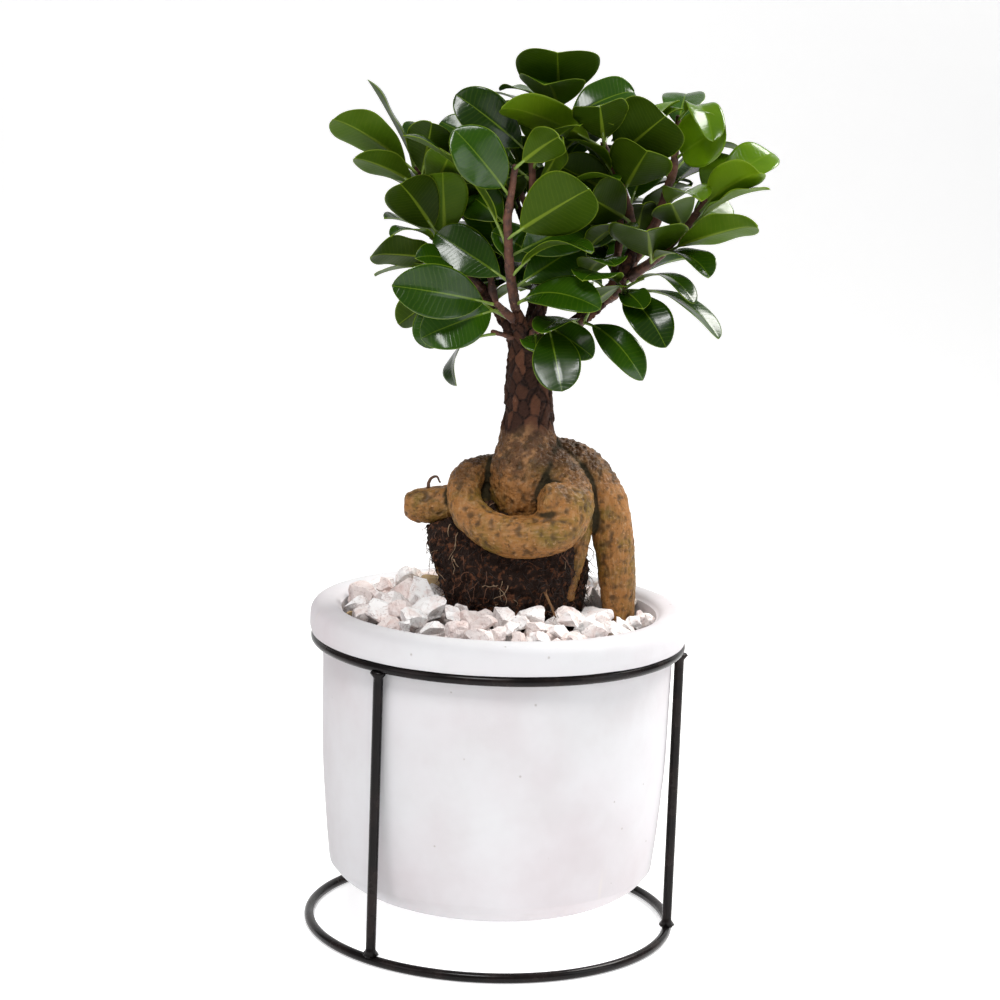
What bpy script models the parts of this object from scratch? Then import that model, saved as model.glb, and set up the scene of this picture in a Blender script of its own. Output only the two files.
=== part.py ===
"""A ginseng fig bonsai in a round cement pot that hangs by its rim in a wire stand.

Metres, +Z up.  The origin is the middle of the model's footprint, on the surface it stands on.
Everything is modelled about the pot's own axis and hangs on an empty that stands there, because
the crown leans out to the right.  Tables of the grown parts are in millimetres.
"""
import math
from collections import namedtuple

import bmesh
import bpy
from mathutils import Matrix, Vector, noise
from mathutils.bvhtree import BVHTree

MM = 0.001

# ---- frame ----------------------------------------------------------------------------------
AXIS_X = -0.0165            # the pot's axis, seen from the middle of the footprint
AXIS_Y = 0.0
GAP = 0.0003                # air left between pieces that touch or rest on each other
SPACE = 1.3 * GAP           # the same round a grown shape, whose skin is not flat

# ---- stand ----------------------------------------------------------------------------------
WIRE = 0.005                # wire thickness
STAND_HEIGHT = 0.1554       # top of the upper ring
RING_AIR = 0.0013           # between the upper ring and the pot's body
LEG_BEARINGS = (-38.0, 82.0, 202.0)
WELD = 0.0009               # how far a weld bead stands out of the leg
WELD_LENGTH = 0.0035

# ---- pot ------------------------------------------------------------------------------------
POT_RADIUS = 0.0907         # outside of the body, just under the rim
MID_TAPER = 0.0015          # how much narrower the body is at mid height
LOW_TAPER = 0.0055          # and above its rounded bottom edge
WALL = 0.0094
RIM_REACH = 0.0030          # how far the rim reaches past the ring's centre line
RIM_HEIGHT = 0.0155
RIM_ROUNDING = 0.0060
RIM_EDGE = 0.0030           # height of the rim's straight outer edge over its underside
RIM_CHAMFER = 0.0010
FOOT_HEIGHT = 0.0200        # underside of the pot over the surface
FOOT_CORNER = 0.0330        # how far in the rounded bottom edge reaches
FOOT_RISE = 0.0200          # how high it reaches
FLOOR_THICKNESS = 0.0120
INNER_CORNER = 0.0200
STRAIGHT_DEPTH = 0.0300     # how far below the rim's top the inside stays straight

# ---- soil and stones --------------------------------------------------------------------------
SOIL_DEPTH = 0.0150         # from the rim's top down to the soil
SOIL_DOME = 0.0012
STONE_SIZE = 0.0130
BED_HEIGHT = 0.0130         # thickness of the stones along the pot's wall
BED_MOUND = 0.0085          # how much higher they are heaped round the plant
BED_RELIEF = 0.0060
BED_LEAN = 0.0025           # the stones lie higher on the left and at the back
BED_DIP = 0.0090            # and leave a hollow on the right, behind the outermost root

# ---- plant ----------------------------------------------------------------------------------
TRUNK_VOXEL = 0.0014
TRUNK_KEEP = 0.048           # share of the fine skin's faces that stays
LEAF_THICKNESS = 0.0011
LEAF_FOLD = 0.16            # how steeply the two halves rise from the midrib
PETIOLE_SHARE = 0.15
PETIOLE_RADIUS = 0.0009
LEAF_AIR = 0.0005           # least air between two leaves
STALK_ROOT = 0.0016         # stretch of a stalk, off its twig, that may touch the next stalk
TWIG_END = 0.0015           # the last leaf of a twig stands this far from its end
STALK_SEAT = 0.45           # where a stalk starts inside its twig, as a share of the twig's radius

ROUND_STEPS = 36
GOLDEN_ANGLE = 137.5

RING_RADIUS = POT_RADIUS + RING_AIR + WIRE / 2
RIM_RADIUS = RING_RADIUS + RIM_REACH
OPENING_RADIUS = POT_RADIUS - WALL
STAND_TOP_RING_Z = STAND_HEIGHT - WIRE / 2
RIM_BOTTOM = STAND_HEIGHT + GAP
RIM_TOP = RIM_BOTTOM + RIM_HEIGHT
SOIL_TOP = RIM_TOP - SOIL_DEPTH

# The plant's tables below are drawn for a pot with this opening and for soil at this height.
# The plant grows with the opening and stands on the soil wherever that is.
DRAWN_OPENING = 0.0813
DRAWN_SOIL_TOP = 0.1562
PLANT_SCALE = OPENING_RADIUS / DRAWN_OPENING

# A limb is a row of (x, y, z, radius), in millimetres from the pot's axis.
LIMBS = {
    "stem": [(12, -2, 208, 13), (11, -5, 226, 18), (11, -5, 243, 19), (11.5, -2, 256, 15.5),
             (11.5, 0, 268, 13.6), (11, 0, 282, 13.2), (9.5, 0, 300, 10.8), (9, 1, 311, 8.5)],
    "right_root": [(18, 2, 246, 12), (30, 4, 249, 11), (41.5, 2, 243, 11.5), (52, 0, 230, 12),
                   (57, -2, 212, 11.5), (60, -3, 191, 10), (62, -4, 170, 9), (63, -4, 142, 6)],
    "loop_root": [(20, 0, 246, 13), (31, -12, 238, 12.5), (36, -23, 227, 12), (30, -31, 216, 11.5),
                  (14, -34, 212, 11.3), (-5, -31, 213, 10.5), (-20, -21, 224, 9),
                  (-21, -8, 236, 8.8), (-12, 5, 240, 9), (4, 10, 238, 10)],
    "loop_nub": [(36, -24, 228, 11.5), (28, -30, 231, 10), (19, -31, 233, 8)],
    "left_stub": [(-8, 2, 226, 10), (-24, 0, 223, 9.6), (-38, -1, 221.5, 10), (-46, -2, 221, 9),
                  (-51, -2, 221, 6)],
    "inner_root": [(38, -8, 232, 8), (41, -12, 214, 6.5), (37, -14, 194, 5), (34, -14, 176, 4)],
    "back_left_root": [(4, 8, 236, 11), (-8, 20, 226, 10.5), (-14, 27, 206, 9), (-16, 30, 182, 8),
                       (-18, 32, 148, 6)],
    "back_right_root": [(18, 8, 238, 11), (27, 20, 226, 10), (29, 29, 206, 8.5), (27, 33, 180, 7.5),
                        (26, 35, 146, 5.5)],
    "front_limb": [(9, 0, 300, 7), (6, -6, 312, 5), (2.5, -13, 325, 3.4)],
    "right_limb": [(10, 1, 298, 7), (19, 5, 305, 5.4), (33, 8, 316, 4.6), (46, 10, 328, 4.6),
                   (58, 9, 342, 4.4), (62, 6, 358, 3.6)],
    "left_limb": [(8, 2, 302, 6), (-2, 6, 318, 4), (-14, 7, 332, 3.4), (-26, 4, 345, 3)],
    "back_limb": [(10, 3, 302, 6.5), (12, 14, 322, 4.2), (15, 24, 344, 3.6), (18, 31, 364, 3)],
    "middle_limb": [(10, 2, 304, 6.5), (15, 2, 322, 4), (20, 3, 344, 3.4), (22, 5, 366, 3)],
}

# The dark lump of fine roots under the rootstock: rows of (height, middle x, middle y, half
# width, half depth), in millimetres.
ROOT_LUMP = [(158, 8, 0, 32, 27), (168, 8, -1, 34, 28), (180, 7, -2, 37, 29), (192, 5, -3, 40, 29),
             (203, 3, -3, 41, 28), (212, 1, -2, 38, 25), (219, 2, 0, 30, 20), (226, 4, 0, 20, 14)]

FINE_ROOTS = [
    [(34, -24, 206, 1.5), (44, -24, 198, 1.4), (51, -22, 186, 1.3), (53, -22, 174, 1.2)],
    [(20, -28, 190, 1.2), (25, -33, 180, 1.2), (29, -37, 172, 1.1)],
    [(-30, -12, 206, 1.2), (-35, -15, 196, 1.0), (-31, -16, 186, 1.0)],
]

# Which way a leaf's upper face looks; it is turned square to the leaf afterwards.
UP = (0.0, 0.0, 1.0)
BACK = (0.0, 1.0, 0.15)
FRONT = (0.0, -1.0, 0.25)
UP_BACK = (0.0, 1.0, 1.0)
UP_FRONT = (0.0, -1.0, 1.0)
EDGE_LEFT = (-1.0, 0.0, 0.6)
EDGE_RIGHT = (1.0, 0.0, 0.6)

# A leaf springs from its twig at a share of the twig's length.  Its bearing is in degrees from
# the front (-Y), to the right; its rise is from level.  Length (with its stalk) and width are in
# millimetres, and arch is how far it bends over, as a share of its length.
Leaf = namedtuple("Leaf", "along bearing rise length width face arch", defaults=(UP, 0.10))
Shoot = namedtuple("Shoot", "twig leaves")

SHOOTS = [
    # top of the crown
    Shoot([(21, 4, 362, 2.6), (22, 7, 390, 2.3), (21, 8, 427, 1.7)], [
        Leaf(1.00, -4, 38, 47, 42, BACK, 0.04),
        Leaf(0.93, -12, 23, 42, 33, UP, 0.10),
        Leaf(0.90, -113, 23, 36, 16, UP, 0.10),
        Leaf(0.90, -66, 0, 44, 22, UP_BACK, 0.03),
        Leaf(0.84, 106, 26, 44, 24, UP_FRONT, 0.10),
        Leaf(0.78, 112, 18, 46, 22, UP, 0.08),
        Leaf(0.94, 176, 30, 46, 25, UP, 0.08),
        Leaf(0.62, 40, 26, 44, 22, UP, 0.06),
        Leaf(0.70, -150, 24, 48, 24, UP, 0.08),
        Leaf(0.55, -20, 40, 44, 24, BACK, 0.06),
        Leaf(0.86, -120, 40, 44, 22, UP, 0.08)]),
    # upper right
    Shoot([(62, 6, 358, 3), (58, 1, 376, 2.6), (50, -7, 396, 2.2), (43, -12, 410, 1.7)], [
        Leaf(0.80, 39, 48, 42, 37, BACK, 0.04),
        Leaf(1.00, -7, 33, 40, 28, BACK, 0.03),
        Leaf(0.94, -72, 19, 62, 25, UP_BACK, 0.05),
        Leaf(0.50, 18, 35, 40, 32, BACK, 0.05),
        Leaf(0.42, -71, 25, 42, 24, BACK, 0.04),
        Leaf(0.66, -62, 28, 34, 19, UP, 0.08),
        Leaf(0.22, -38, 20, 40, 30, BACK, 0.06),
        Leaf(0.97, 178, 40, 46, 23, UP, 0.08),
        Leaf(0.74, 124, 43, 50, 24, UP, 0.08),
        Leaf(0.34, 158, 41, 44, 22, FRONT, 0.04),
        Leaf(0.64, 112, 32, 50, 24, UP, 0.08),
        Leaf(0.30, -60, 10, 40, 24, UP_FRONT, 0.06)]),
    # front twig, up the middle
    Shoot([(3.5, -11, 321, 2.9), (-1, -21, 345, 2.6), (-3, -28, 371, 2.2), (0, -33, 398, 1.6)], [
        Leaf(0.10, 48, 3, 56, 24, UP_FRONT, 0.14),
        Leaf(0.12, 46, 1, 42, 22, UP, 0.06),
        Leaf(0.30, 54, 19, 52, 18, UP, 0.12),
        Leaf(0.54, 58, 31, 54, 33, BACK, 0.05),
        Leaf(0.50, -74, 44, 76, 22, UP, 0.10),
        Leaf(0.80, -60, 45, 46, 26, FRONT, 0.08),
        Leaf(1.00, 45, 30, 34, 19, BACK, 0.12),
        Leaf(0.34, -149, 47, 50, 24, FRONT, 0.04),
        Leaf(0.42, 142, 28, 52, 27, FRONT, 0.04),
        Leaf(0.62, -150, 14, 40, 22, FRONT, 0.04),
        Leaf(0.24, -120, 30, 46, 24, FRONT, 0.05),
        Leaf(0.20, 150, 30, 46, 24, FRONT, 0.05)]),
    # second twig, behind it
    Shoot([(17, 2, 335, 2.6), (13, -5, 360, 2.3), (9, -10, 385, 2), (8, -12, 404, 1.6)], [
        Leaf(0.97, -61, 36, 50, 24, FRONT, 0.10),
        Leaf(0.90, 56, 43, 40, 20, UP, 0.08),
        Leaf(0.80, -106, 37, 56, 22, UP_FRONT, 0.05),
        Leaf(0.70, 30, 44, 42, 14, EDGE_RIGHT, 0.05),
        Leaf(0.60, 95, 30, 50, 24, UP, 0.08),
        Leaf(0.30, -110, 28, 48, 23, UP, 0.08),
        Leaf(0.40, 60, 20, 46, 22, UP, 0.08),
        Leaf(0.12, 22, 18, 36, 20, UP_FRONT, 0.08),
        Leaf(0.34, -105, -1, 44, 22, UP_FRONT, 0.06),
        Leaf(0.22, -70, 20, 46, 24, FRONT, 0.05),
        Leaf(0.30, 120, 40, 46, 24, FRONT, 0.05)]),
    # crown edge on the right, high
    Shoot([(62, 9, 350, 2.8), (73, 11, 370, 2.5), (80, 6, 396, 2.2), (81, 4, 424, 1.5)], [
        Leaf(1.00, 25, -14, 38, 18, UP, 0.30),
        Leaf(0.72, 30, 31, 40, 27, FRONT, 0.05),
        Leaf(0.66, 123, 15, 40, 18, UP, 0.12),
        Leaf(0.88, 170, 30, 44, 22, UP, 0.08),
        Leaf(0.60, -100, 30, 38, 20, UP, 0.08),
        Leaf(0.50, 140, 22, 48, 23, UP, 0.08),
        Leaf(0.40, 30, 10, 40, 22, UP, 0.08)]),
    # crown edge on the right, middle
    Shoot([(60, 6, 341, 2.8), (75, 0, 354, 2.5), (88, -5, 370, 2.1), (98, -9, 386, 1.6)], [
        Leaf(0.92, -68, 46, 34, 20, UP_BACK, 0.10),
        Leaf(0.98, 115, 32, 44, 23, UP_FRONT, 0.08),
        Leaf(0.84, 42, 31, 42, 24, UP_BACK, 0.10),
        Leaf(0.70, 65, 34, 46, 18, UP, 0.05),
        Leaf(0.36, 56, 19, 58, 22, UP_BACK, 0.06),
        Leaf(0.62, -15, 41, 38, 23, BACK, 0.04),
        Leaf(0.66, 135, 23, 34, 19, FRONT, 0.05),
        Leaf(0.24, -7, 26, 44, 40, UP_BACK, 0.06),
        Leaf(0.16, 42, 8, 44, 24, UP, 0.24),
        Leaf(0.56, 130, 12, 48, 24, UP, 0.10),
        Leaf(0.90, 150, 34, 42, 22, UP, 0.08)]),
    # drooping leaves under the right limb
    Shoot([(48, 8, 329, 2.6), (53, -2, 333, 2.2), (57, -12, 339, 1.7)], [
        Leaf(1.00, 55, -6, 42, 18, UP, 0.20),
        Leaf(0.86, 58, -19, 60, 18, UP, 0.12),
        Leaf(0.66, 36, -30, 46, 22, UP_FRONT, 0.12),
        Leaf(0.76, 33, -11, 30, 15, UP_FRONT, 0.10),
        Leaf(0.94, -30, 10, 44, 24, UP, 0.10)]),
    Shoot([(32, 7, 314, 2.4), (35, -2, 317, 1.9), (37, -9, 321, 1.5)], [
        Leaf(0.92, 55, -35, 46, 19, UP_FRONT, 0.18),
        Leaf(0.70, -30, -2, 40, 22, UP, 0.12),
        Leaf(1.00, 28, 37, 34, 20, UP, 0.08)]),
    # hanging leaves in front of the trunk
    Shoot([(9, -4, 309, 2.4), (15, -12, 316, 1.9), (20, -18, 320, 1.5)], [
        Leaf(1.00, 14, -43, 44, 24, FRONT, 0.08),
        Leaf(0.84, 32, -22, 34, 18, FRONT, 0.06),
        Leaf(0.40, 1, -11, 24, 16, FRONT, 0.04)]),
    # lower left
    Shoot([(4, -9, 317, 2.5), (-2, -19, 324, 2.1), (-7, -26, 329, 1.6)], [
        Leaf(1.00, -60, 10, 60, 27, FRONT, 0.06),
        Leaf(0.78, -57, -16, 48, 26, FRONT, 0.10),
        Leaf(0.44, -90, 6, 48, 22, UP, 0.08)]),
    Shoot([(5, -4, 309, 2), (-3, -11, 312, 1.4), (-9, -17, 314, 1.1)], [
        Leaf(1.00, -36, -37, 40, 18, EDGE_LEFT, 0.20)]),
    # left cluster, low
    Shoot([(-15, 4, 333, 2.6), (-28, -4, 345, 2.3), (-38, -4, 361, 1.7)], [
        Leaf(1.00, -40, 42, 40, 27, BACK, 0.06),
        Leaf(0.80, 20, 55, 40, 25, BACK, 0.04),
        Leaf(0.84, -40, 12, 32, 15, UP, 0.08),
        Leaf(0.58, -73, 9, 44, 24, UP_BACK, 0.05),
        Leaf(0.46, -109, -3, 46, 18, UP, 0.06),
        Leaf(0.40, -54, 15, 32, 16, UP_FRONT, 0.06),
        Leaf(0.14, -84, -30, 44, 24, UP_BACK, 0.06),
        Leaf(0.30, 178, 18, 34, 20, UP_FRONT, 0.06)]),
    # left cluster, high
    Shoot([(-26, 5, 345, 2.6), (-37, 6, 366, 2.3), (-46, 4, 382, 2), (-50, 4, 394, 1.5)], [
        Leaf(0.94, -64, 30, 54, 26, UP_BACK, 0.05),
        Leaf(0.80, -58, 21, 42, 20, UP_BACK, 0.04),
        Leaf(1.00, -64, 58, 52, 22, EDGE_RIGHT, 0.05),
        Leaf(0.84, 17, 57, 40, 23, BACK, 0.05),
        Leaf(0.66, 22, 41, 40, 22, BACK, 0.05),
        Leaf(0.98, -171, 53, 30, 14, UP, 0.06),
        Leaf(0.90, 130, 44, 44, 22, UP, 0.06),
        Leaf(0.58, -130, 20, 50, 24, UP, 0.08),
        Leaf(0.72, 175, 40, 46, 22, UP, 0.08)]),
    Shoot([(-10, 7, 328, 2.2), (-20, 2, 330, 1.9), (-29, -2, 333, 1.5)], [
        Leaf(0.98, -40, -25, 36, 20, UP_FRONT, 0.10),
        Leaf(0.84, -114, -5, 46, 20, UP, 0.08),
        Leaf(0.60, -30, 22, 40, 22, UP, 0.08)]),
]

# Twigs on the far side: each is drawn from its limb to a tip and carries a spiral of leaves.
# (start x, y, z, tip x, y, z, number of leaves, bearing of the first leaf)
BACK_TWIGS = [
    (18, 30, 360, 22, 42, 398, 8, 20),
    (17, 27, 352, 2, 44, 384, 7, 200),
    (14, 22, 340, -18, 44, 362, 7, 150),
    (16, 26, 350, 44, 46, 380, 7, 100),
    (14, 20, 334, 16, 52, 346, 6, 160),
    (58, 9, 341, 64, 36, 364, 7, 120),
    (47, 10, 328, 52, 36, 336, 5, 150),
    (52, 12, 336, 54, 26, 392, 7, 190),
    (-17, 9, 334, -36, 32, 360, 7, 230),
    (-5, 9, 322, -18, 34, 332, 5, 210),
    (19, 6, 342, -4, 20, 388, 5, 250),
    (-6, 6, 322, -12, 0, 350, 5, 0),
    (36, 9, 319, 34, 4, 352, 5, 30),
]
BACK_LEAF_LENGTH = 50
BACK_LEAF_WIDTH = 25


# ---- helpers --------------------------------------------------------------------------------
def clear_scene():
    for thing in list(bpy.data.objects):
        bpy.data.objects.remove(thing, do_unlink=True)


def collection(name):
    made = bpy.data.collections.new(name)
    bpy.context.scene.collection.children.link(made)
    return made


def material(name, colour, roughness, metallic=0.0):
    made = bpy.data.materials.new(name)
    made.use_nodes = True
    shader = made.node_tree.nodes["Principled BSDF"]
    shader.inputs["Base Color"].default_value = (*colour, 1.0)
    shader.inputs["Roughness"].default_value = roughness
    shader.inputs["Metallic"].default_value = metallic
    made.diffuse_color = (*colour, 1.0)
    return made


def add_object(name, data, group, stuff=None, parent=None):
    made = bpy.data.objects.new(name, data)
    group.objects.link(made)
    made.parent = axis if parent is None else parent
    if stuff is not None:
        data.materials.append(stuff)
    return made


def add_cutter(name, data):
    made = add_object(name, data, tools, parent=plant)
    made.hide_render = True
    made.display_type = "WIRE"
    return made


def mesh_of(name, points, faces):
    data = bpy.data.meshes.new(name)
    data.from_pydata([tuple(p) for p in points], [], faces)
    data.validate()
    return data


def shade_round(data, angle=35.0):
    data.shade_smooth()
    data.set_sharp_from_angle(angle=math.radians(angle))


def turned(name, profile, group, stuff, closed=False, steps=ROUND_STEPS):
    """A profile of (radius, height) that runs down its outer side, turned about the axis."""
    edges = [(i, i + 1) for i in range(len(profile) - 1)]
    if closed:
        edges.append((len(profile) - 1, 0))
    data = bpy.data.meshes.new(name)
    data.from_pydata([(r, 0.0, z) for r, z in profile], edges, [])
    made = add_object(name, data, group, stuff)
    screw = made.modifiers.new("turn", "SCREW")
    screw.steps = steps
    screw.render_steps = steps
    screw.use_merge_vertices = True
    screw.merge_threshold = 0.00001
    return made


def boolean(target, operation, other):
    step = target.modifiers.new(operation.lower(), "BOOLEAN")
    step.operation = operation
    step.solver = "EXACT"
    step.use_self = operation == "UNION"
    step.object = other
    return step


def evaluated_mesh(thing):
    """The thing's mesh after its modifiers, as new data in its own space."""
    bpy.context.view_layer.update()
    graph = bpy.context.evaluated_depsgraph_get()
    return bpy.data.meshes.new_from_object(thing.evaluated_get(graph))


def weld(data):
    work = bmesh.new()
    work.from_mesh(data)
    bmesh.ops.remove_doubles(work, verts=work.verts, dist=0.00001)
    work.to_mesh(data)
    work.free()


def tube_mesh(name, routes, sides, smooth_path=True):
    """Closed tubes along rows of (x, y, z, radius) in millimetres, as one mesh of loose bodies."""
    curve = bpy.data.curves.new(name, "CURVE")
    curve.dimensions = "3D"
    curve.bevel_depth = MM
    curve.bevel_resolution = sides // 2 - 2
    curve.use_fill_caps = True
    curve.resolution_u = 4 if smooth_path else 1
    for route in routes:
        spline = curve.splines.new("NURBS" if smooth_path else "POLY")
        spline.points.add(len(route) - 1)
        for point, (x, y, z, radius) in zip(spline.points, route):
            point.co = (x * MM, y * MM, z * MM, 1.0)
            point.radius = radius
        if smooth_path:
            spline.order_u = 3
            spline.use_endpoint_u = True
    drawn = add_object(name, curve, tools, parent=plant)
    data = evaluated_mesh(drawn)
    weld(data)
    bpy.data.objects.remove(drawn, do_unlink=True)
    data.materials.clear()
    return data


def keep_largest(data):
    """Leave only the biggest of a mesh's separate bodies."""
    work = bmesh.new()
    work.from_mesh(data)
    unseen = set(work.verts)
    bodies = []
    while unseen:
        body = {unseen.pop()}
        edge_of_body = list(body)
        while edge_of_body:
            vert = edge_of_body.pop()
            for edge in vert.link_edges:
                other = edge.other_vert(vert)
                if other in unseen:
                    unseen.remove(other)
                    body.add(other)
                    edge_of_body.append(other)
        bodies.append(body)
    bodies.sort(key=len, reverse=True)
    spare = [vert for body in bodies[1:] for vert in body]
    bmesh.ops.delete(work, geom=spare, context="VERTS")
    work.to_mesh(data)
    work.free()


# ---- stand ----------------------------------------------------------------------------------
def wire_section(middle_radius, middle_z, sides=8):
    """The wire's cross-section with a flat side down, running down its outer side."""
    corner = WIRE / 2 / math.cos(math.pi / sides)
    turns = [math.pi / 2 - (i + 0.5) * 2 * math.pi / sides for i in range(sides)]
    return [(middle_radius + corner * math.cos(a), middle_z + corner * math.sin(a)) for a in turns]


def build_stand():
    turned("stand_base_ring", wire_section(RING_RADIUS, WIRE / 2), parts, wire_black, closed=True)
    turned("stand_top_ring", wire_section(RING_RADIUS, STAND_TOP_RING_Z), parts, wire_black,
           closed=True)
    foot = WIRE + GAP
    head = STAND_HEIGHT - WIRE - GAP
    side = WIRE / 2
    bead = side + WELD
    profile = [(0.0, head), (bead, head), (side, head - WELD_LENGTH),
               (side, foot + WELD_LENGTH), (bead, foot), (0.0, foot)]
    for number, bearing in enumerate(LEG_BEARINGS, 1):
        leg = turned(f"stand_leg_{number}", profile, parts, wire_black, steps=10)
        angle = math.radians(bearing)
        leg.location = (RING_RADIUS * math.sin(angle), -RING_RADIUS * math.cos(angle), 0.0)


# ---- pot, soil and stones ---------------------------------------------------------------------
def quarter(middle_r, middle_z, across, down, first, last, steps):
    """Points of an ellipse's arc between two angles in degrees."""
    turns = [math.radians(first + (last - first) * i / steps) for i in range(steps + 1)]
    return [(middle_r + across * math.cos(a), middle_z + down * math.sin(a)) for a in turns]


def inner_wall(inset):
    """The pot's inside from the middle of its floor up to the rim, drawn in by inset."""
    radius = OPENING_RADIUS - inset
    floor = FOOT_HEIGHT + FLOOR_THICKNESS + inset
    low = radius - LOW_TAPER
    corner = quarter(low - INNER_CORNER, floor + INNER_CORNER, INNER_CORNER, INNER_CORNER, -90, 0, 3)
    return [(0.0, floor)] + corner + [(radius, RIM_TOP - STRAIGHT_DEPTH)]


def build_pot():
    across = RIM_ROUNDING
    rim = quarter(OPENING_RADIUS + across, RIM_TOP - across, across, across, 180, 90, 3)
    rim += quarter(RIM_RADIUS - across, RIM_TOP - across, across, across, 90, 0, 3)
    rim += [(RIM_RADIUS, RIM_BOTTOM + RIM_EDGE), (RIM_RADIUS - RIM_CHAMFER, RIM_BOTTOM)]
    body = [(POT_RADIUS, RIM_BOTTOM), (POT_RADIUS - MID_TAPER, (RIM_BOTTOM + FOOT_HEIGHT) / 2)]
    foot = quarter(POT_RADIUS - LOW_TAPER - FOOT_CORNER, FOOT_HEIGHT + FOOT_RISE, FOOT_CORNER,
                   FOOT_RISE, 0, -90, 5)
    profile = inner_wall(0.0) + rim + body + foot + [(0.0, FOOT_HEIGHT)]
    turned("pot", profile, parts, cement)


def build_soil(trunk_space):
    wall = inner_wall(GAP)
    top = [(OPENING_RADIUS - GAP, SOIL_TOP - SOIL_DOME), (0.0, SOIL_TOP)]
    profile = list(reversed(wall + top))
    soil = turned("soil", profile, parts, earth)
    boolean(soil, "DIFFERENCE", trunk_space)


def bed_height(x, y):
    """Top of the stones at a place: lumps of about a stone's size on a low, leaning mound."""
    across, deep = x / OPENING_RADIUS, y / OPENING_RADIUS
    out = min(max((math.hypot(across, deep) - 0.40) / 0.56, 0.0), 1.0)
    mound = BED_MOUND * (0.5 + 0.5 * math.cos(math.pi * out))
    lean = BED_LEAN * (0.7 * deep - 0.9 * across)
    dip = BED_DIP * math.exp(-((across - 0.93) ** 2 + (deep - 0.18) ** 2) / 0.05)
    near, _ = noise.voronoi(Vector((x, y, 0.37 * STONE_SIZE)) / STONE_SIZE)
    lump = BED_RELIEF * (0.45 - min(near[0], 1.0))
    return SOIL_TOP + BED_HEIGHT + mound + lean + lump - dip


def build_gravel(trunk_space):
    rings, spokes = 10, ROUND_STEPS
    radius = OPENING_RADIUS - GAP
    base = SOIL_TOP + GAP
    points = [(0.0, 0.0, bed_height(0.0, 0.0))]
    for ring in range(1, rings + 1):
        for spoke in range(spokes):
            angle = 2 * math.pi * (spoke + 0.5 * (ring % 2)) / spokes
            x = radius * ring / rings * math.cos(angle)
            y = radius * ring / rings * math.sin(angle)
            points.append((x, y, bed_height(x, y)))
    faces = [(0, 1 + s, 1 + (s + 1) % spokes) for s in range(spokes)]
    for ring in range(1, rings):
        inner, outer = 1 + (ring - 1) * spokes, 1 + ring * spokes
        shift = ring % 2
        for spoke in range(spokes):
            following = (spoke + 1) % spokes
            if shift:
                faces.append((inner + spoke, outer + following, inner + following))
                faces.append((inner + spoke, outer + spoke, outer + following))
            else:
                faces.append((inner + spoke, outer + spoke, inner + following))
                faces.append((inner + following, outer + spoke, outer + following))
    rim = 1 + (rings - 1) * spokes
    floor = len(points)
    points += [(x, y, base) for x, y, _ in points[rim:rim + spokes]]
    for spoke in range(spokes):
        following = (spoke + 1) % spokes
        faces.append((rim + spoke, floor + spoke, floor + following, rim + following))
    faces.append(tuple(reversed(range(floor, floor + spokes))))
    bed = add_object("gravel", mesh_of("gravel", points, faces), parts, stone)
    boolean(bed, "DIFFERENCE", trunk_space)
    boolean(bed, "DIFFERENCE", add_cutter("lump_space", lump_mesh(SPACE)))
    boolean(bed, "DIFFERENCE", add_cutter("strand_space", strand_mesh(SPACE)))
    finish_cut(bed)


def finish_cut(thing):
    """Take the cuts into the mesh and drop crumbs that a cut left behind."""
    data = evaluated_mesh(thing)
    thing.modifiers.clear()
    keep_largest(data)
    thing.data = data


# ---- rootstock --------------------------------------------------------------------------------
def build_trunk():
    """Rootstock, roots, trunk and limbs: overlapping tubes run together under one skin."""
    data = tube_mesh("trunk", list(LIMBS.values()), sides=12)
    trunk = add_object("trunk", data, parts, bark, plant)
    skin = trunk.modifiers.new("skin", "REMESH")
    skin.mode = "VOXEL"
    skin.voxel_size = TRUNK_VOXEL
    ease = trunk.modifiers.new("ease", "SMOOTH")
    ease.factor = 0.5
    ease.iterations = 4
    thin = trunk.modifiers.new("thin", "DECIMATE")
    thin.ratio = TRUNK_KEEP
    data = evaluated_mesh(trunk)
    trunk.modifiers.clear()
    keep_largest(data)
    trunk.data = data
    shade_round(data, 60.0)
    return trunk


def grown_copy(name, thing, distance):
    """A cutter: the thing's mesh with its skin moved out by a distance."""
    made = add_cutter(name, thing.data.copy())
    swell = made.modifiers.new("swell", "DISPLACE")
    swell.mid_level = 0.0
    swell.strength = distance
    made.data = evaluated_mesh(made)
    made.modifiers.clear()
    return made


def lump_mesh(grow):
    """The fibrous lump as a loft of noisy rings, with its skin moved out by grow."""
    spokes = 22
    points, faces = [], []
    for level, (z, x, y, half_x, half_y) in enumerate(ROOT_LUMP):
        height = z * MM
        if level == 0:
            height = DRAWN_SOIL_TOP + GAP / PLANT_SCALE - grow
        elif level == len(ROOT_LUMP) - 1:
            height += grow
        for spoke in range(spokes):
            angle = 2 * math.pi * spoke / spokes
            way = Vector((math.cos(angle), math.sin(angle), 0.0))
            rough = 1.0 + 0.16 * noise.noise(way * 2.1 + Vector((0.0, 0.0, z * 0.06)))
            points.append((x * MM + (half_x * rough * MM + grow) * way.x,
                           y * MM + (half_y * rough * MM + grow) * way.y, height))
    for level in range(len(ROOT_LUMP) - 1):
        for spoke in range(spokes):
            a = level * spokes + spoke
            b = level * spokes + (spoke + 1) % spokes
            faces.append((a, b, b + spokes))
            faces.append((a, b + spokes, a + spokes))
    faces.append(tuple(reversed(range(spokes))))
    last = (len(ROOT_LUMP) - 1) * spokes
    faces.append(tuple(range(last, last + spokes)))
    return mesh_of("root_mass", points, faces)


def strand_mesh(grow):
    routes = [[(x, y, z, radius + grow / MM) for x, y, z, radius in route] for route in FINE_ROOTS]
    return tube_mesh("fine_roots", routes, 6, smooth_path=False)


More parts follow.
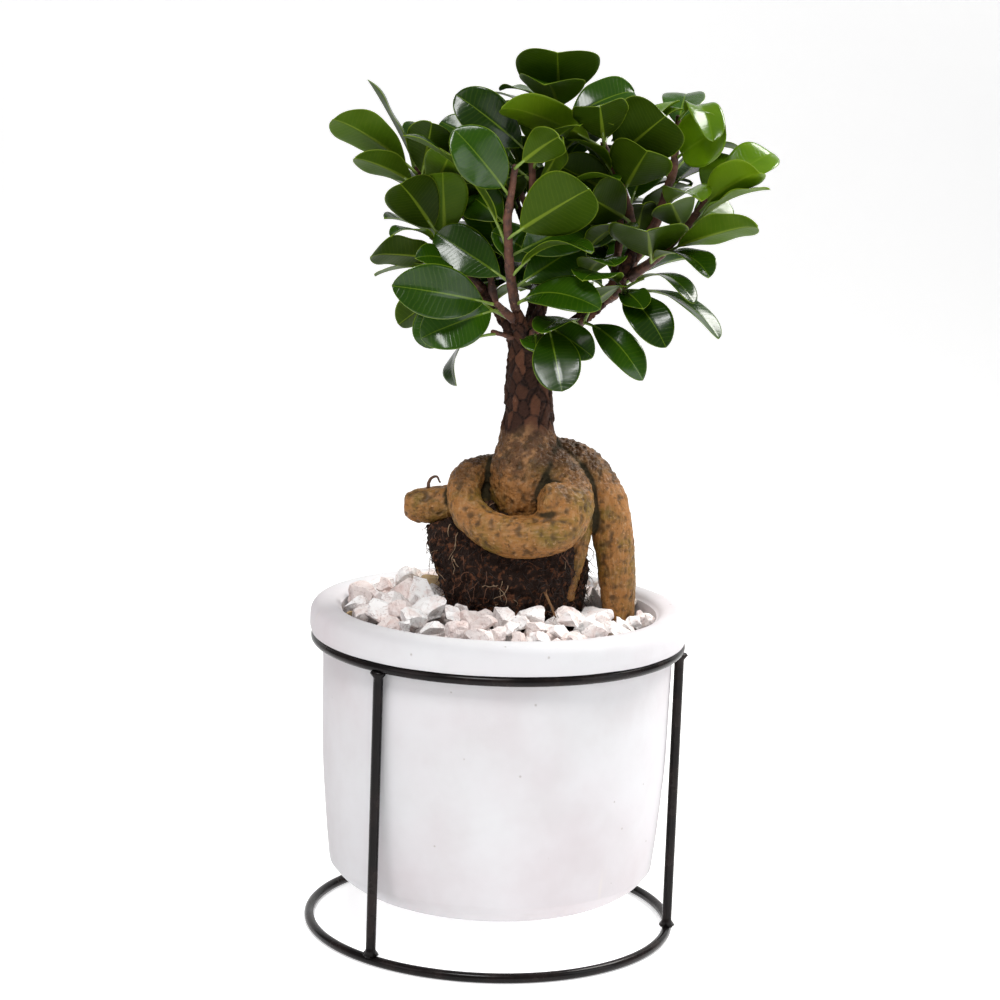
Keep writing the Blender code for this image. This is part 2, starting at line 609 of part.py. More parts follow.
def build_root_mass(trunk_space):
    """The lump, with the few single roots that leave it."""
    lump = add_object("root_mass", lump_mesh(0.0), parts, root_earth, plant)
    boolean(lump, "UNION", add_cutter("fine_roots", strand_mesh(0.0)))
    boolean(lump, "DIFFERENCE", trunk_space)
    finish_cut(lump)


# ---- leaves ---------------------------------------------------------------------------------
def direction(bearing, rise):
    flat, up = math.radians(bearing), math.radians(rise)
    return Vector((math.sin(flat) * math.cos(up), -math.cos(flat) * math.cos(up), math.sin(up)))


# stations of a blade: (share of its length, share of its half width)
BLADE = [(0.0, 0.0), (0.28, 0.72), (0.58, 1.0), (0.84, 0.70)]


def leaf_shape(root, leaf, start, swell=0.0):
    """One leaf as rings of four points (left, top, right, bottom) from its stalk to its tip."""
    length = leaf.length * MM
    along = direction(leaf.bearing, leaf.rise)
    hint = Vector(leaf.face)
    top = (hint - along * hint.dot(along)).normalized()
    side = along.cross(top)
    crest = root + along * length * 0.5 + top * leaf.arch * length * 2.0
    tip = root + along * length

    def midrib(share):
        back = 1.0 - share
        return root * back * back + crest * 2.0 * back * share + tip * share * share

    points = []
    stalk = PETIOLE_RADIUS + swell
    stations = [(start, stalk)]
    for share, wide in BLADE:
        half = max(leaf.width * MM / 2 * wide, PETIOLE_RADIUS) + swell
        stations.append((PETIOLE_SHARE + (1.0 - PETIOLE_SHARE) * share, half))
    thick = LEAF_THICKNESS + swell
    for share, half in stations:
        middle = midrib(share)
        lift = top * (half * LEAF_FOLD - LEAF_THICKNESS / 2)
        points += [middle - side * half + lift, middle + top * swell,
                   middle + side * half + lift, middle - top * thick]
    points.append(tip + along * swell - top * LEAF_THICKNESS / 2)
    faces = [(0, 1, 2), (0, 2, 3)]
    for ring in range(len(stations) - 1):
        for corner in range(4):
            a = ring * 4 + corner
            b = ring * 4 + (corner + 1) % 4
            faces.append((b, a, a + 4))
            faces.append((b, a + 4, b + 4))
    last = (len(stations) - 1) * 4
    for corner in range(4):
        faces.append((last + (corner + 1) % 4, last + corner, last + 4))
    return points, faces


def point_on(route, share):
    """A place along a twig, and its radius there, in metres."""
    steps = [(Vector(b[:3]) - Vector(a[:3])).length for a, b in zip(route, route[1:])]
    left = min(share * sum(steps), sum(steps) - TWIG_END / MM)
    for (a, b), step in zip(zip(route, route[1:]), steps):
        if left <= step or b is route[-1]:
            part = min(left / step, 1.0)
            place = Vector(a[:3]).lerp(Vector(b[:3]), part)
            return place * MM, (a[3] + (b[3] - a[3]) * part) * MM
        left -= step


def bounds(points):
    low = Vector(min(p[i] for p in points) for i in range(3))
    high = Vector(max(p[i] for p in points) for i in range(3))
    return low, high


def apart(one, other):
    return any(one[1][i] < other[0][i] or other[1][i] < one[0][i] for i in range(3))


class Crowd:
    """What stands in the way of the next leaf: limbs, twigs and the leaves already placed.

    A leaf may touch its own twig, and near their roots the leaves of one twig may touch.
    """

    def __init__(self):
        self.members = []

    def add(self, shape, owner=None, is_twig=False):
        self.members.append((owner, is_twig, bounds(shape[0]), BVHTree.FromPolygons(*shape)))

    def add_mesh(self, data, owner=None, is_twig=False):
        points = [vert.co.copy() for vert in data.vertices]
        self.add((points, [tuple(face.vertices) for face in data.polygons]), owner, is_twig)

    def is_hit(self, whole, free, owner):
        """Whether a leaf meets anything; free is the leaf without the root of its stalk."""
        box = bounds(whole[0])
        whole_tree = BVHTree.FromPolygons(*whole)
        free_tree = BVHTree.FromPolygons(*free)
        for whose, is_twig, other, tree in self.members:
            if apart(box, other) or (is_twig and whose == owner):
                continue
            mine = free_tree if whose is None or whose == owner else whole_tree
            if mine.overlap(tree):
                return True
        return False


# turns that a crowded leaf tries, in degrees of bearing and rise, nearest first
TURNS = sorted(((b, r) for b in range(-32, 33, 4) for r in range(-24, 25, 4)),
               key=lambda turn: (abs(turn[0]) + 1.3 * abs(turn[1]), turn))
SIZES = (1.0, 0.88, 0.76)


def place_leaf(route, leaf, crowd, owner):
    """A leaf's shape, turned and shrunk as little as its neighbours allow; None if no room."""
    place, thick = point_on(route, leaf.along)
    for size in SIZES:
        for bearing, rise in TURNS:
            tried = leaf._replace(bearing=leaf.bearing + bearing, rise=leaf.rise + rise,
                                  length=leaf.length * size, width=leaf.width * size)
            start = STALK_SEAT * thick / (tried.length * MM)
            clear = (thick + STALK_ROOT) / (tried.length * MM)
            whole = leaf_shape(place, tried, start, swell=LEAF_AIR)
            free = leaf_shape(place, tried, clear, swell=LEAF_AIR)
            if not crowd.is_hit(whole, free, owner):
                made = leaf_shape(place, tried, start)
                crowd.add(leaf_shape(place, tried, clear), owner)
                crowd.add(made, owner, is_twig=True)
                return made
    return None


def spiral_shoot(x, y, z, tip_x, tip_y, tip_z, count, first):
    """A far-side twig with leaves at golden-angle turns, lower ones flatter and longer."""
    bend = ((x + tip_x) / 2 * 1.04, (y + tip_y) / 2 * 1.04, (z + tip_z) / 2 - 3)
    twig = [(x, y, z, 2.5), (*bend, 2.1), (tip_x, tip_y, tip_z, 1.5)]
    leaves = []
    for i in range(count):
        share = (i + 1) / count
        leaves.append(Leaf(0.28 + 0.72 * share, (first + i * GOLDEN_ANGLE) % 360 - 180,
                           8 + 44 * share, BACK_LEAF_LENGTH - 8 * share,
                           BACK_LEAF_WIDTH - 3 * share, UP, 0.10))
    return Shoot(twig, leaves)


def build_shoot(name, twig_mesh, placed, trunk_space):
    """A twig and its leaves run together, cut to sit against the limb that it grows from."""
    twig = add_object(name, twig_mesh, parts, leaf_green, plant)
    points, faces = [], []
    for shape_points, shape_faces in placed:
        base = len(points)
        points += shape_points
        faces += [tuple(base + i for i in face) for face in shape_faces]
    blades = add_cutter(name + "_leaves", mesh_of(name + "_leaves", points, faces))
    boolean(twig, "UNION", blades)
    boolean(twig, "DIFFERENCE", trunk_space)
    finish_cut(twig)


def build_crown(trunk, trunk_space):
    shoots = SHOOTS + [spiral_shoot(*row) for row in BACK_TWIGS]
    crowd = Crowd()
    crowd.add_mesh(trunk.data)
    twigs = [tube_mesh("twig", [shoot.twig], 6, smooth_path=False) for shoot in shoots]
    for owner, twig in enumerate(twigs):
        crowd.add_mesh(twig, owner, is_twig=True)
    for owner, (shoot, twig) in enumerate(zip(shoots, twigs)):
        found = [place_leaf(shoot.twig, leaf, crowd, owner) for leaf in shoot.leaves]
        placed = [leaf for leaf in found if leaf]
        build_shoot(f"shoot_{owner + 1:02d}", twig, placed, trunk_space)


clear_scene()
parts = collection("fig_bonsai")
tools = collection("cutters")
axis = bpy.data.objects.new("pot_axis", None)
axis.location = (AXIS_X, AXIS_Y, 0.0)
parts.objects.link(axis)
plant = bpy.data.objects.new("plant_foot", None)
plant.parent = axis
plant.location = (0.0, 0.0, SOIL_TOP - DRAWN_SOIL_TOP * PLANT_SCALE)
plant.scale = (PLANT_SCALE, PLANT_SCALE, PLANT_SCALE)
parts.objects.link(plant)

wire_black = material("black_wire", (0.02, 0.02, 0.02), 0.45)
cement = material("white_cement", (0.86, 0.84, 0.84), 0.85)
earth = material("potting_soil", (0.05, 0.035, 0.025), 0.95)
stone = material("marble_chips", (0.80, 0.74, 0.72), 0.75)
bark = material("bark", (0.30, 0.19, 0.09), 0.8)
root_earth = material("root_lump", (0.06, 0.04, 0.025), 0.95)
leaf_green = material("fig_leaf", (0.05, 0.17, 0.03), 0.35)

build_stand()
build_pot()
trunk_part = build_trunk()
trunk_cutter = grown_copy("trunk_space", trunk_part, SPACE)
build_soil(trunk_cutter)
build_root_mass(trunk_cutter)
build_gravel(trunk_cutter)
build_crown(trunk_part, trunk_cutter)
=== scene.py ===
# %% [markdown]
# # A ginseng fig bonsai in a round cement pot
#
# The plant stands on swollen roots, in a pot that hangs by its rim in a stand of black wire.
# A CAD model of it gives every size and place. It is plain, with flat facets and one colour a
# part, so this lesson builds the surfaces that the eye sees: fine bark, single leaves with
# ribs and margins, crushed stones and cast cement.
#
# Nothing here is measured again. Each piece is read off the CAD part it stands for.

import math
import random

import bmesh
import bpy
import numpy as np
from mathutils import Matrix, Vector, noise
from mathutils.bvhtree import BVHTree
from mathutils.kdtree import KDTree


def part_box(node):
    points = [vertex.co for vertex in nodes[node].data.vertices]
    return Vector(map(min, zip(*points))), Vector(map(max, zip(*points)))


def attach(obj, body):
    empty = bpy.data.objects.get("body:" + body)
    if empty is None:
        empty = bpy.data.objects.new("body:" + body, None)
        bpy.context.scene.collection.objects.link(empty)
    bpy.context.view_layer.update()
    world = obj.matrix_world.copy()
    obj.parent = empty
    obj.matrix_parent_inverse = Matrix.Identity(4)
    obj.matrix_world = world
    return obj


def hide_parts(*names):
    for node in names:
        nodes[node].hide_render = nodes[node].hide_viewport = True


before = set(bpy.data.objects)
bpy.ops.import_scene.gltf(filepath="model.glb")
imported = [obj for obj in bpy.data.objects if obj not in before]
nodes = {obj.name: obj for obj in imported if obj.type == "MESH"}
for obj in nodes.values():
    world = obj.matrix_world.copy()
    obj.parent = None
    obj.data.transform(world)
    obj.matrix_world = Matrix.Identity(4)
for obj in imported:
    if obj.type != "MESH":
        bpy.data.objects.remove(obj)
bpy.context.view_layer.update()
MM = 0.001

pot_low, pot_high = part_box("pot")
pot_axis = Vector(((pot_low.x + pot_high.x) / 2, (pot_low.y + pot_high.y) / 2, 0.0))
print("parts:", len(nodes), " pot axis at x", round(pot_axis.x / MM, 1), "mm")

# %% [markdown]
# ## The camera
#
# A long lens from a little over a metre away, looking slightly down, keeps the pot's sides
# nearly upright. The camera leans two degrees, as a hand-held one does. It is placed from the
# pot's axis, so that it follows the model.

# %% Camera
LENS = 92.64                # millimetres, on a sensor 36 mm wide
LOOK_DOWN = math.radians(9.94)
LEAN = math.radians(2.07)
CAMERA_PLACE = Vector((-0.0016, -1.3037, 0.4538))   # from the pot's axis


def aim_camera():
    ahead = Vector((0, math.cos(LOOK_DOWN), -math.sin(LOOK_DOWN)))
    above = Vector((0, math.sin(LOOK_DOWN), math.cos(LOOK_DOWN)))
    right = Vector((1, 0, 0))
    turned_right = right * math.cos(LEAN) + above * math.sin(LEAN)
    turned_up = above * math.cos(LEAN) - right * math.sin(LEAN)
    data = bpy.data.cameras.new("camera")
    data.lens = LENS
    data.sensor_width = 36
    camera = bpy.data.objects.new("camera", data)
    bpy.context.scene.collection.objects.link(camera)
    place = Matrix((turned_right, turned_up, -ahead)).transposed().to_4x4()
    place.translation = pot_axis + CAMERA_PLACE
    camera.matrix_world = place
    bpy.context.scene.camera = camera
    return camera


camera = aim_camera()
print("camera at", [round(x, 3) for x in camera.matrix_world.translation])

# %% [markdown]
# ## The studio
#
# A white sweep: the floor bends up into the wall behind, so no line shows between them. The
# paper glows by itself a little, which keeps it pure white with no lamp aimed at it, and
# throws a soft light up under the rim. The key softbox stands high on the right and a little
# behind, where its light passes through the young leaves and runs down the right side of the
# roots. An equal one high in front whitens the stones and the upper sides of the leaves. Two
# weak ones at the sides open the shadows: a cool one on the right, a pinkish one on the left.
# The picture keeps plain sRGB tones, so white stays white.

# %% Sweep
SWEEP_REACH = 3.0
SWEEP_BACK = 1.6
SWEEP_BEND = 0.9
PAPER_WHITE = 0.9
PAPER_GLOW = 0.48


def build_sweep():
    """A floor that turns up into a wall behind, as one smooth sheet."""
    bend = [math.radians(90 * i / 12) for i in range(13)]
    line = [(-SWEEP_REACH, 0.0)]
    line += [(SWEEP_BACK + SWEEP_BEND * math.sin(a), SWEEP_BEND * (1 - math.cos(a))) for a in bend]
    line.append((SWEEP_BACK + SWEEP_BEND, SWEEP_REACH))
    points = [(side * SWEEP_REACH, y, z) for side in (-1, 1) for y, z in line]
    count = len(line)
    faces = [(i, count + i, count + i + 1, i + 1) for i in range(count - 1)]
    data = bpy.data.meshes.new("sweep")
    data.from_pydata(points, [], faces)
    data.shade_smooth()
    sweep = bpy.data.objects.new("sweep", data)
    bpy.context.scene.collection.objects.link(sweep)
    paper = bpy.data.materials.new("studio_paper")
    paper.use_nodes = True
    shader = paper.node_tree.nodes["Principled BSDF"]
    shader.inputs["Base Color"].default_value = (PAPER_WHITE, PAPER_WHITE, PAPER_WHITE, 1)
    shader.inputs["Roughness"].default_value = 0.9
    shader.inputs["Emission Color"].default_value = (1.0, 1.0, 1.0, 1.0)
    shader.inputs["Emission Strength"].default_value = PAPER_GLOW
    data.materials.append(paper)
    return sweep


sweep = build_sweep()
print("sweep faces:", len(sweep.data.polygons))

# %% Lights
LIGHT_TARGET = pot_axis + Vector((0, 0, 0.26))
AIR_GLOW = 0.18
# name, place from the target, width, height, watts, colour
SOFTBOXES = [
    ("key", (0.75, 0.35, 0.85), 0.5, 0.5, 15.0, (1.0, 0.98, 0.95)),
    ("right", (1.05, -0.45, 0.30), 0.6, 0.9, 4.0, (0.93, 0.97, 1.0)),
    ("left", (-1.05, -0.75, 0.45), 0.6, 0.8, 3.0, (1.0, 0.92, 0.96)),
    ("front", (-0.22, -0.80, 1.20), 0.45, 0.45, 15.0, (1.0, 1.0, 1.0)),
]


def add_softbox(name, offset, width, height, watts, colour):
    data = bpy.data.lights.new(name, "AREA")
    data.shape = "RECTANGLE"
    data.size = width
    data.size_y = height
    data.energy = watts
    data.color = colour
    light = bpy.data.objects.new(name, data)
    bpy.context.scene.collection.objects.link(light)
    light.location = LIGHT_TARGET + Vector(offset)
    light.rotation_euler = (-Vector(offset)).to_track_quat("-Z", "Y").to_euler()
    return light


for box in SOFTBOXES:
    add_softbox(*box)

world = bpy.data.worlds.new("studio_air")
bpy.context.scene.world = world
world.use_nodes = True
world.node_tree.nodes["Background"].inputs["Color"].default_value = (1.0, 1.0, 1.0, 1.0)
world.node_tree.nodes["Background"].inputs["Strength"].default_value = AIR_GLOW
bpy.context.scene.view_settings.view_transform = "Standard"
bpy.context.scene.view_settings.look = "None"
print("softboxes:", len(SOFTBOXES))

# %% [markdown]
# ## Small tools for materials
#
# A material is a tree of nodes. These helpers add a node and join it up in one line, so that
# each finish below reads as a recipe. Effects that several finishes share are node groups
# with named inputs. A group gives out only colours, masks and heights, and the shader itself
# stays in the material.

# %% Node helpers


def add_node(tree, kind, inputs=None, **settings):
    """A node with its settings, and its inputs set to values or joined to other sockets."""
    node = tree.nodes.new("ShaderNode" + kind)
    for name, value in settings.items():
        setattr(node, name, value)
    for socket, value in (inputs or {}).items():
        if isinstance(value, bpy.types.NodeSocket):
            tree.links.new(value, node.inputs[socket])
        elif isinstance(value, tuple) and len(value) == 3 and node.inputs[socket].type == "RGBA":
            node.inputs[socket].default_value = (*value, 1.0)
        else:
            node.inputs[socket].default_value = value
    return node


def mixed(tree, share, first, second, blend="MIX"):
    """Two colours mixed by a share."""
    node = add_node(tree, "Mix", data_type="RGBA", blend_type=blend)
    for index, value in ((0, share), (6, first), (7, second)):
        if isinstance(value, bpy.types.NodeSocket):
            tree.links.new(value, node.inputs[index])
        elif index == 0:
            node.inputs[0].default_value = value
        else:
            node.inputs[index].default_value = (*value[:3], 1.0)
    return node.outputs[2]


def maths(tree, operation, first, second=0.0, third=0.0):
    node = add_node(tree, "Math", {0: first, 1: second, 2: third}, operation=operation)
    return node.outputs[0]


def spread(tree, value, low, high, to_low=0.0, to_high=1.0):
    """A value's stretch from low to high, eased, as a share."""
    inputs = {"Value": value, "From Min": low, "From Max": high, "To Min": to_low,
              "To Max": to_high}
    return add_node(tree, "MapRange", inputs, interpolation_type="SMOOTHSTEP").outputs["Result"]


def clouds(tree, place, scale, detail=3.0, roughness=0.5, distortion=0.0):
    inputs = {"Vector": place, "Scale": scale, "Detail": detail, "Roughness": roughness,
              "Distortion": distortion}
    return add_node(tree, "TexNoise", inputs).outputs["Fac"]


def cells(tree, place, scale):
    """How far a place is from the middle of its cell."""
    return add_node(tree, "TexVoronoi", {"Vector": place, "Scale": scale}).outputs["Distance"]


def attribute(tree, name, output="Fac"):
    return add_node(tree, "Attribute", attribute_name=name).outputs[output]


def split(tree, vector):
    return add_node(tree, "SeparateXYZ", {0: vector}).outputs


def object_place(tree):
    return add_node(tree, "TexCoord").outputs["Object"]


def stretched(tree, place, factors):
    """Coordinates stretched along their axes, for grain that runs one way."""
    return add_node(tree, "Mapping", {"Vector": place, "Scale": factors}).outputs["Vector"]


def new_group(name, inputs, outputs):
    """A node group with named sockets, and its two end nodes."""
    group = bpy.data.node_groups.new(name, "ShaderNodeTree")
    kinds = {"colour": "NodeSocketColor", "value": "NodeSocketFloat", "vector": "NodeSocketVector"}
    for label, kind, value in inputs:
        socket = group.interface.new_socket(label, in_out="INPUT", socket_type=kinds[kind])
        if kind == "colour":
            socket.default_value = (*value, 1.0)
        elif kind == "value":
            socket.default_value = value
    for label, kind in outputs:
        group.interface.new_socket(label, in_out="OUTPUT", socket_type=kinds[kind])
    return group, group.nodes.new("NodeGroupInput").outputs, group.nodes.new("NodeGroupOutput").inputs


def use_group(tree, group, inputs):
    node = tree.nodes.new("ShaderNodeGroup")
    node.node_tree = group
    for name, value in inputs.items():
        if isinstance(value, bpy.types.NodeSocket):
            tree.links.new(value, node.inputs[name])
        elif isinstance(value, tuple):
            node.inputs[name].default_value = (*value, 1.0)
        else:
            node.inputs[name].default_value = value
    return node.outputs


def new_material(name):
    """An empty node material: its tree and its Principled shader."""
    made = bpy.data.materials.new(name)
    made.use_nodes = True
    return made, made.node_tree, made.node_tree.nodes["Principled BSDF"]


def join(tree, shader, **sockets):
    """Joins colours and values to a shader's inputs, named with underscores for spaces."""
    for name, value in sockets.items():
        socket = shader.inputs[name.replace("_", " ").title()]
        if isinstance(value, bpy.types.NodeSocket):
            tree.links.new(value, socket)
        else:
            socket.default_value = value


def bumped(tree, height, distance, strength):
    inputs = {"Height": height, "Distance": distance, "Strength": strength}
    return add_node(tree, "Bump", inputs).outputs["Normal"]


# %% [markdown]
# ## Effects that several finishes share
#
# * **Mottle** lays soft clouds of a second colour over a first. Cement, bark, stone and
#   leaves are all uneven like this, each at its own scale.
# * **Grit** is a fine height map, grains with scattered pits, for broken and cast surfaces.

# %% Mottle and grit groups


def make_mottle():
    group, given, out = new_group(
        "mottle",
        [("Place", "vector", None), ("First", "colour", (1, 1, 1)), ("Second", "colour", (0, 0, 0)),
         ("Scale", "value", 50.0), ("Cover", "value", 0.5), ("Softness", "value", 0.2)],
        [("Colour", "colour"), ("Mask", "value")])
    cloud = clouds(group, given["Place"], given["Scale"], detail=4.0, roughness=0.6)
    edge = maths(group, "SUBTRACT", 1.0, given["Cover"])
    low = maths(group, "SUBTRACT", edge, given["Softness"])
    high = maths(group, "ADD", edge, given["Softness"])
    mask = spread(group, cloud, low, high)
    group.links.new(mixed(group, mask, given["First"], given["Second"]), out["Colour"])
    group.links.new(mask, out["Mask"])
    return group


def make_grit():
    group, given, out = new_group(
        "grit",
        [("Place", "vector", None), ("Grain", "value", 900.0), ("Pits", "value", 300.0),
         ("Pit depth", "value", 0.5)],
        [("Height", "value"), ("Pit mask", "value")])
    grain = clouds(group, given["Place"], given["Grain"], detail=3.0, roughness=0.65)
    pit = cells(group, given["Place"], given["Pits"])
    mask = spread(group, pit, 0.10, 0.22, 1.0, 0.0)
    sunk = maths(group, "MULTIPLY", mask, given["Pit depth"])
    group.links.new(maths(group, "SUBTRACT", grain, sunk), out["Height"])
    group.links.new(mask, out["Pit mask"])
    return group


MOTTLE = make_mottle()
GRIT = make_grit()
print("groups:", [group.name for group in bpy.data.node_groups])

# %% [markdown]
# ## Small tools for meshes
#
# A finished piece is a mesh object that rides on the body, stands for its CAD part and takes
# its finishes. `add_piece` says all of that in one place.

# %% Mesh helpers


def add_piece(name, data, stands_for, materials):
    """A mesh as a finished piece of the plant, standing for CAD parts."""
    piece = bpy.data.objects.new(name, data)
    bpy.context.scene.collection.objects.link(piece)
    for stuff in materials:
        data.materials.append(stuff)
    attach(piece, "root")
    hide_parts(*stands_for)
    return piece


def mesh_from(name, points, faces, smooth=True):
    data = bpy.data.meshes.new(name)
    data.from_pydata([tuple(p) for p in points], [], faces)
    data.validate()
    if smooth:
        data.shade_smooth()
    return data


def modified(data, *steps):
    """A mesh after modifiers, each given as (kind, settings)."""
    holder = bpy.data.objects.new("holder", data)
    bpy.context.scene.collection.objects.link(holder)
    for kind, settings in steps:
        step = holder.modifiers.new(kind.lower(), kind)
        for name, value in settings.items():
            setattr(step, name, value)
    graph = bpy.context.evaluated_depsgraph_get()
    made = bpy.data.meshes.new_from_object(holder.evaluated_get(graph))
    bpy.data.objects.remove(holder, do_unlink=True)
    return made


def welded_copy(node):
    """A CAD part's mesh with its corners joined, as a bmesh."""
    work = bmesh.new()
    work.from_mesh(nodes[node].data)
    bmesh.ops.remove_doubles(work, verts=work.verts, dist=0.002 * MM)
    work.verts.ensure_lookup_table()
    return work


def as_mesh(work, name):
    data = bpy.data.meshes.new(name)
    work.to_mesh(data)
    work.free()
    return data


def coordinates(data):
    flat = np.zeros(len(data.vertices) * 3, np.float32)
    data.vertices.foreach_get("co", flat)
    return flat.reshape(-1, 3).astype(float)


def normals(data):
    flat = np.zeros(len(data.vertices) * 3, np.float32)
    data.vertices.foreach_get("normal", flat)
    return flat.reshape(-1, 3).astype(float)


def move_to(data, points):
    data.vertices.foreach_set("co", points.astype(np.float32).ravel())
    data.update()


def edge_ends(data):
    flat = np.zeros(len(data.edges) * 2, np.int32)
    data.edges.foreach_get("vertices", flat)
    return flat.reshape(-1, 2)


def store(data, name, values):
    """Keeps a value, or three, for each point, for a material to read."""
    kind, key = ("FLOAT_VECTOR", "vector") if values.ndim == 2 else ("FLOAT", "value")
    layer = data.attributes.new(name, kind, "POINT")
    layer.data.foreach_set(key, values.astype(np.float32).ravel())


def neighbour_mean(values, ends, weights=None):
    """The mean of each point's neighbours along the edges."""
    weights = np.ones(len(ends)) if weights is None else weights
    total = np.zeros_like(values)
    share = np.zeros(len(values))
    for here, there in ((0, 1), (1, 0)):
        part = weights if values.ndim == 1 else weights[:, None]
        np.add.at(total, ends[:, here], values[ends[:, there]] * part)
        np.add.at(share, ends[:, here], weights)
    share = np.maximum(share, 1e-9)
    return total / (share if values.ndim == 1 else share[:, None])


# %% [markdown]
# ## The wire stand
#
# Two rings and three legs of 5 mm steel wire, spot-welded and painted satin black. Each ring
# is a circle swept round the pot's axis. A leg is a straight wire with a bead of weld at each
# end, drawn in one turned profile, and the bead is made lumpy, as weld is. The CAD parts give
# the wire's thickness, the rings' radius and height, and where each leg stands.

# %% Turning


def turn_profile(name, profile, centre, steps, closed):
    """A profile of (radius, height) turned about an upright line, with no doubled points."""
    points, rows = [], []
    for radius, height in profile:
        if radius < 0.001 * MM:
            rows.append([len(points)] * steps)
            points.append((centre[0], centre[1], height))
            continue
        row = []
        for step in range(steps):
            angle = 2 * math.pi * step / steps
            row.append(len(points))
            points.append((centre[0] + radius * math.cos(angle),
                           centre[1] + radius * math.sin(angle), height))
        rows.append(row)
    faces = []
    pairs = list(zip(rows, rows[1:])) + ([(rows[-1], rows[0])] if closed else [])
    for lower, upper in pairs:
        for step in range(steps):
            after = (step + 1) % steps
            corners = (lower[step], lower[after], upper[after], upper[step])
            face = tuple(dict.fromkeys(corners))
            if len(face) > 2:
                faces.append(face)
    return mesh_from(name, points, faces)


# %% Rings and legs
RING_STEPS = 200
WIRE_SIDES = 20


def build_ring(node):
    low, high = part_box(node)
    wire = high.z - low.z
    radius = (high.x - low.x) / 2 - wire / 2
    turns = [2 * math.pi * i / WIRE_SIDES for i in range(WIRE_SIDES)]
    profile = [(radius + wire / 2 * math.cos(a), low.z + wire / 2 * (1 + math.sin(a))) for a in turns]
    data = turn_profile(node + "_wire", profile, pot_axis, RING_STEPS, closed=True)
    return add_piece(node + "_wire", data, [node], [wire_black])


def build_leg(node, wire):
    low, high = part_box(node)
    centre = (low + high) / 2
    bead = (high.x - low.x) / 2
    height = high.z - low.z
    profile = [(0.0, low.z - 0.2 * wire), (bead, low.z - 0.2 * wire), (bead, low.z)]
    rows = 60
    for row in range(rows + 1):
        z = low.z + height * row / rows
        end = min(z - low.z, high.z - z)
        swell = math.exp(-(end / (0.22 * wire)) ** 2)
        profile.append((wire / 2 + (bead * 1.25 - wire / 2) * swell, z))
    profile += [(bead, high.z + 0.2 * wire), (0.0, high.z + 0.2 * wire)]
    data = turn_profile(node + "_wire", profile, centre, WIRE_SIDES, closed=False)
    points, outward = coordinates(data), normals(data)
    end = np.minimum(points[:, 2] - low.z, high.z - points[:, 2])
    lumps = np.array([noise.noise(Vector(p) / (0.9 * MM)) for p in points])
    move = lumps * 0.45 * MM * np.exp(-(end / (0.4 * wire)) ** 2)
    move_to(data, points + outward * move[:, None])
    return add_piece(node + "_wire", data, [node], [wire_black])


# %% [markdown]
# ### Black paint
#
# Satin paint over wire: nearly black, a little brown, with dull patches where it was touched
# and a few chips that show pale metal. The chips come from cells whose random value is high,
# so that only a few of them break the paint.

# %% Wire material


def make_wire_black():
    made, tree, shader = new_material("painted_wire")
    place = object_place(tree)
    patch = use_group(tree, MOTTLE, {"Place": place, "First": (0.006, 0.005, 0.005),
                                     "Second": (0.018, 0.012, 0.011), "Scale": 45.0,
                                     "Cover": 0.45, "Softness": 0.15})
    spot = add_node(tree, "TexVoronoi", {"Vector": place, "Scale": 75.0})
    chosen = spread(tree, split(tree, spot.outputs["Color"])[0], 0.955, 0.96)
    near = spread(tree, spot.outputs["Distance"], 0.10, 0.16, 1.0, 0.0)
    chip = maths(tree, "MULTIPLY", chosen, near)
    colour = mixed(tree, chip, patch["Colour"], (0.42, 0.38, 0.36))
    orange_peel = use_group(tree, GRIT, {"Place": place, "Grain": 700.0, "Pits": 160.0,
                                         "Pit depth": 0.25})
    height = maths(tree, "SUBTRACT", orange_peel["Height"], chip)
    shader.inputs["Specular IOR Level"].default_value = 0.14
    join(tree, shader, base_color=colour, roughness=spread(tree, patch["Mask"], 0, 1, 0.20, 0.32),
         normal=bumped(tree, height, 0.05 * MM, 0.5))
    return made


wire_black = make_wire_black()
stand_rings = [build_ring(node) for node in ("stand_base_ring", "stand_top_ring")]
ring_low, ring_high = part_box("stand_base_ring")
stand_legs = [build_leg(node, ring_high.z - ring_low.z) for node in sorted(nodes)
              if node.startswith("stand_leg")]
print("stand pieces:", [piece.name for piece in stand_rings + stand_legs])

# %% [markdown]
# ## The pot
#
# Cast cement with a thick rounded rim, a straight body and a softly rounded bottom. The CAD
# pot is turned in flat steps, but the corners on one of its spokes are exactly the drawn
# outline. So the outline is read off one spoke, eased into curves that keep the real
# corners, and turned again finely.

# %% Read and ease the outline
POT_STEPS = 256
OUTLINE_STEP = 1.4 * MM
SHARP_TURN = math.radians(50)


def read_outline(node):
    """The (radius, height) corners of a turned CAD part, walked along its surface."""
    work = welded_copy(node)
    places = {}
    for vert in work.verts:
        offset = vert.co - pot_axis
        key = (round(math.hypot(offset.x, offset.y) / MM, 2), round(offset.z / MM, 2))
        places.setdefault(key, []).append(vert)
    owner = {vert: key for key, verts in places.items() for vert in verts}
    joined = {key: set() for key in places}
    for edge in work.edges:
        a, b = (owner[vert] for vert in edge.verts)
        if a != b:
            joined[a].add(b)
            joined[b].add(a)
    first, last = sorted((key for key in joined if len(joined[key]) == 1), key=lambda key: key[1])
    walk = [first]
    while walk[-1] != last:
        walk.append(min(key for key in joined[walk[-1]] if key not in walk))
    work.free()
    walk = [(0.0, first[1])] + walk + [(0.0, last[1])]
    return [Vector((r * MM, z * MM)) for r, z in walk]


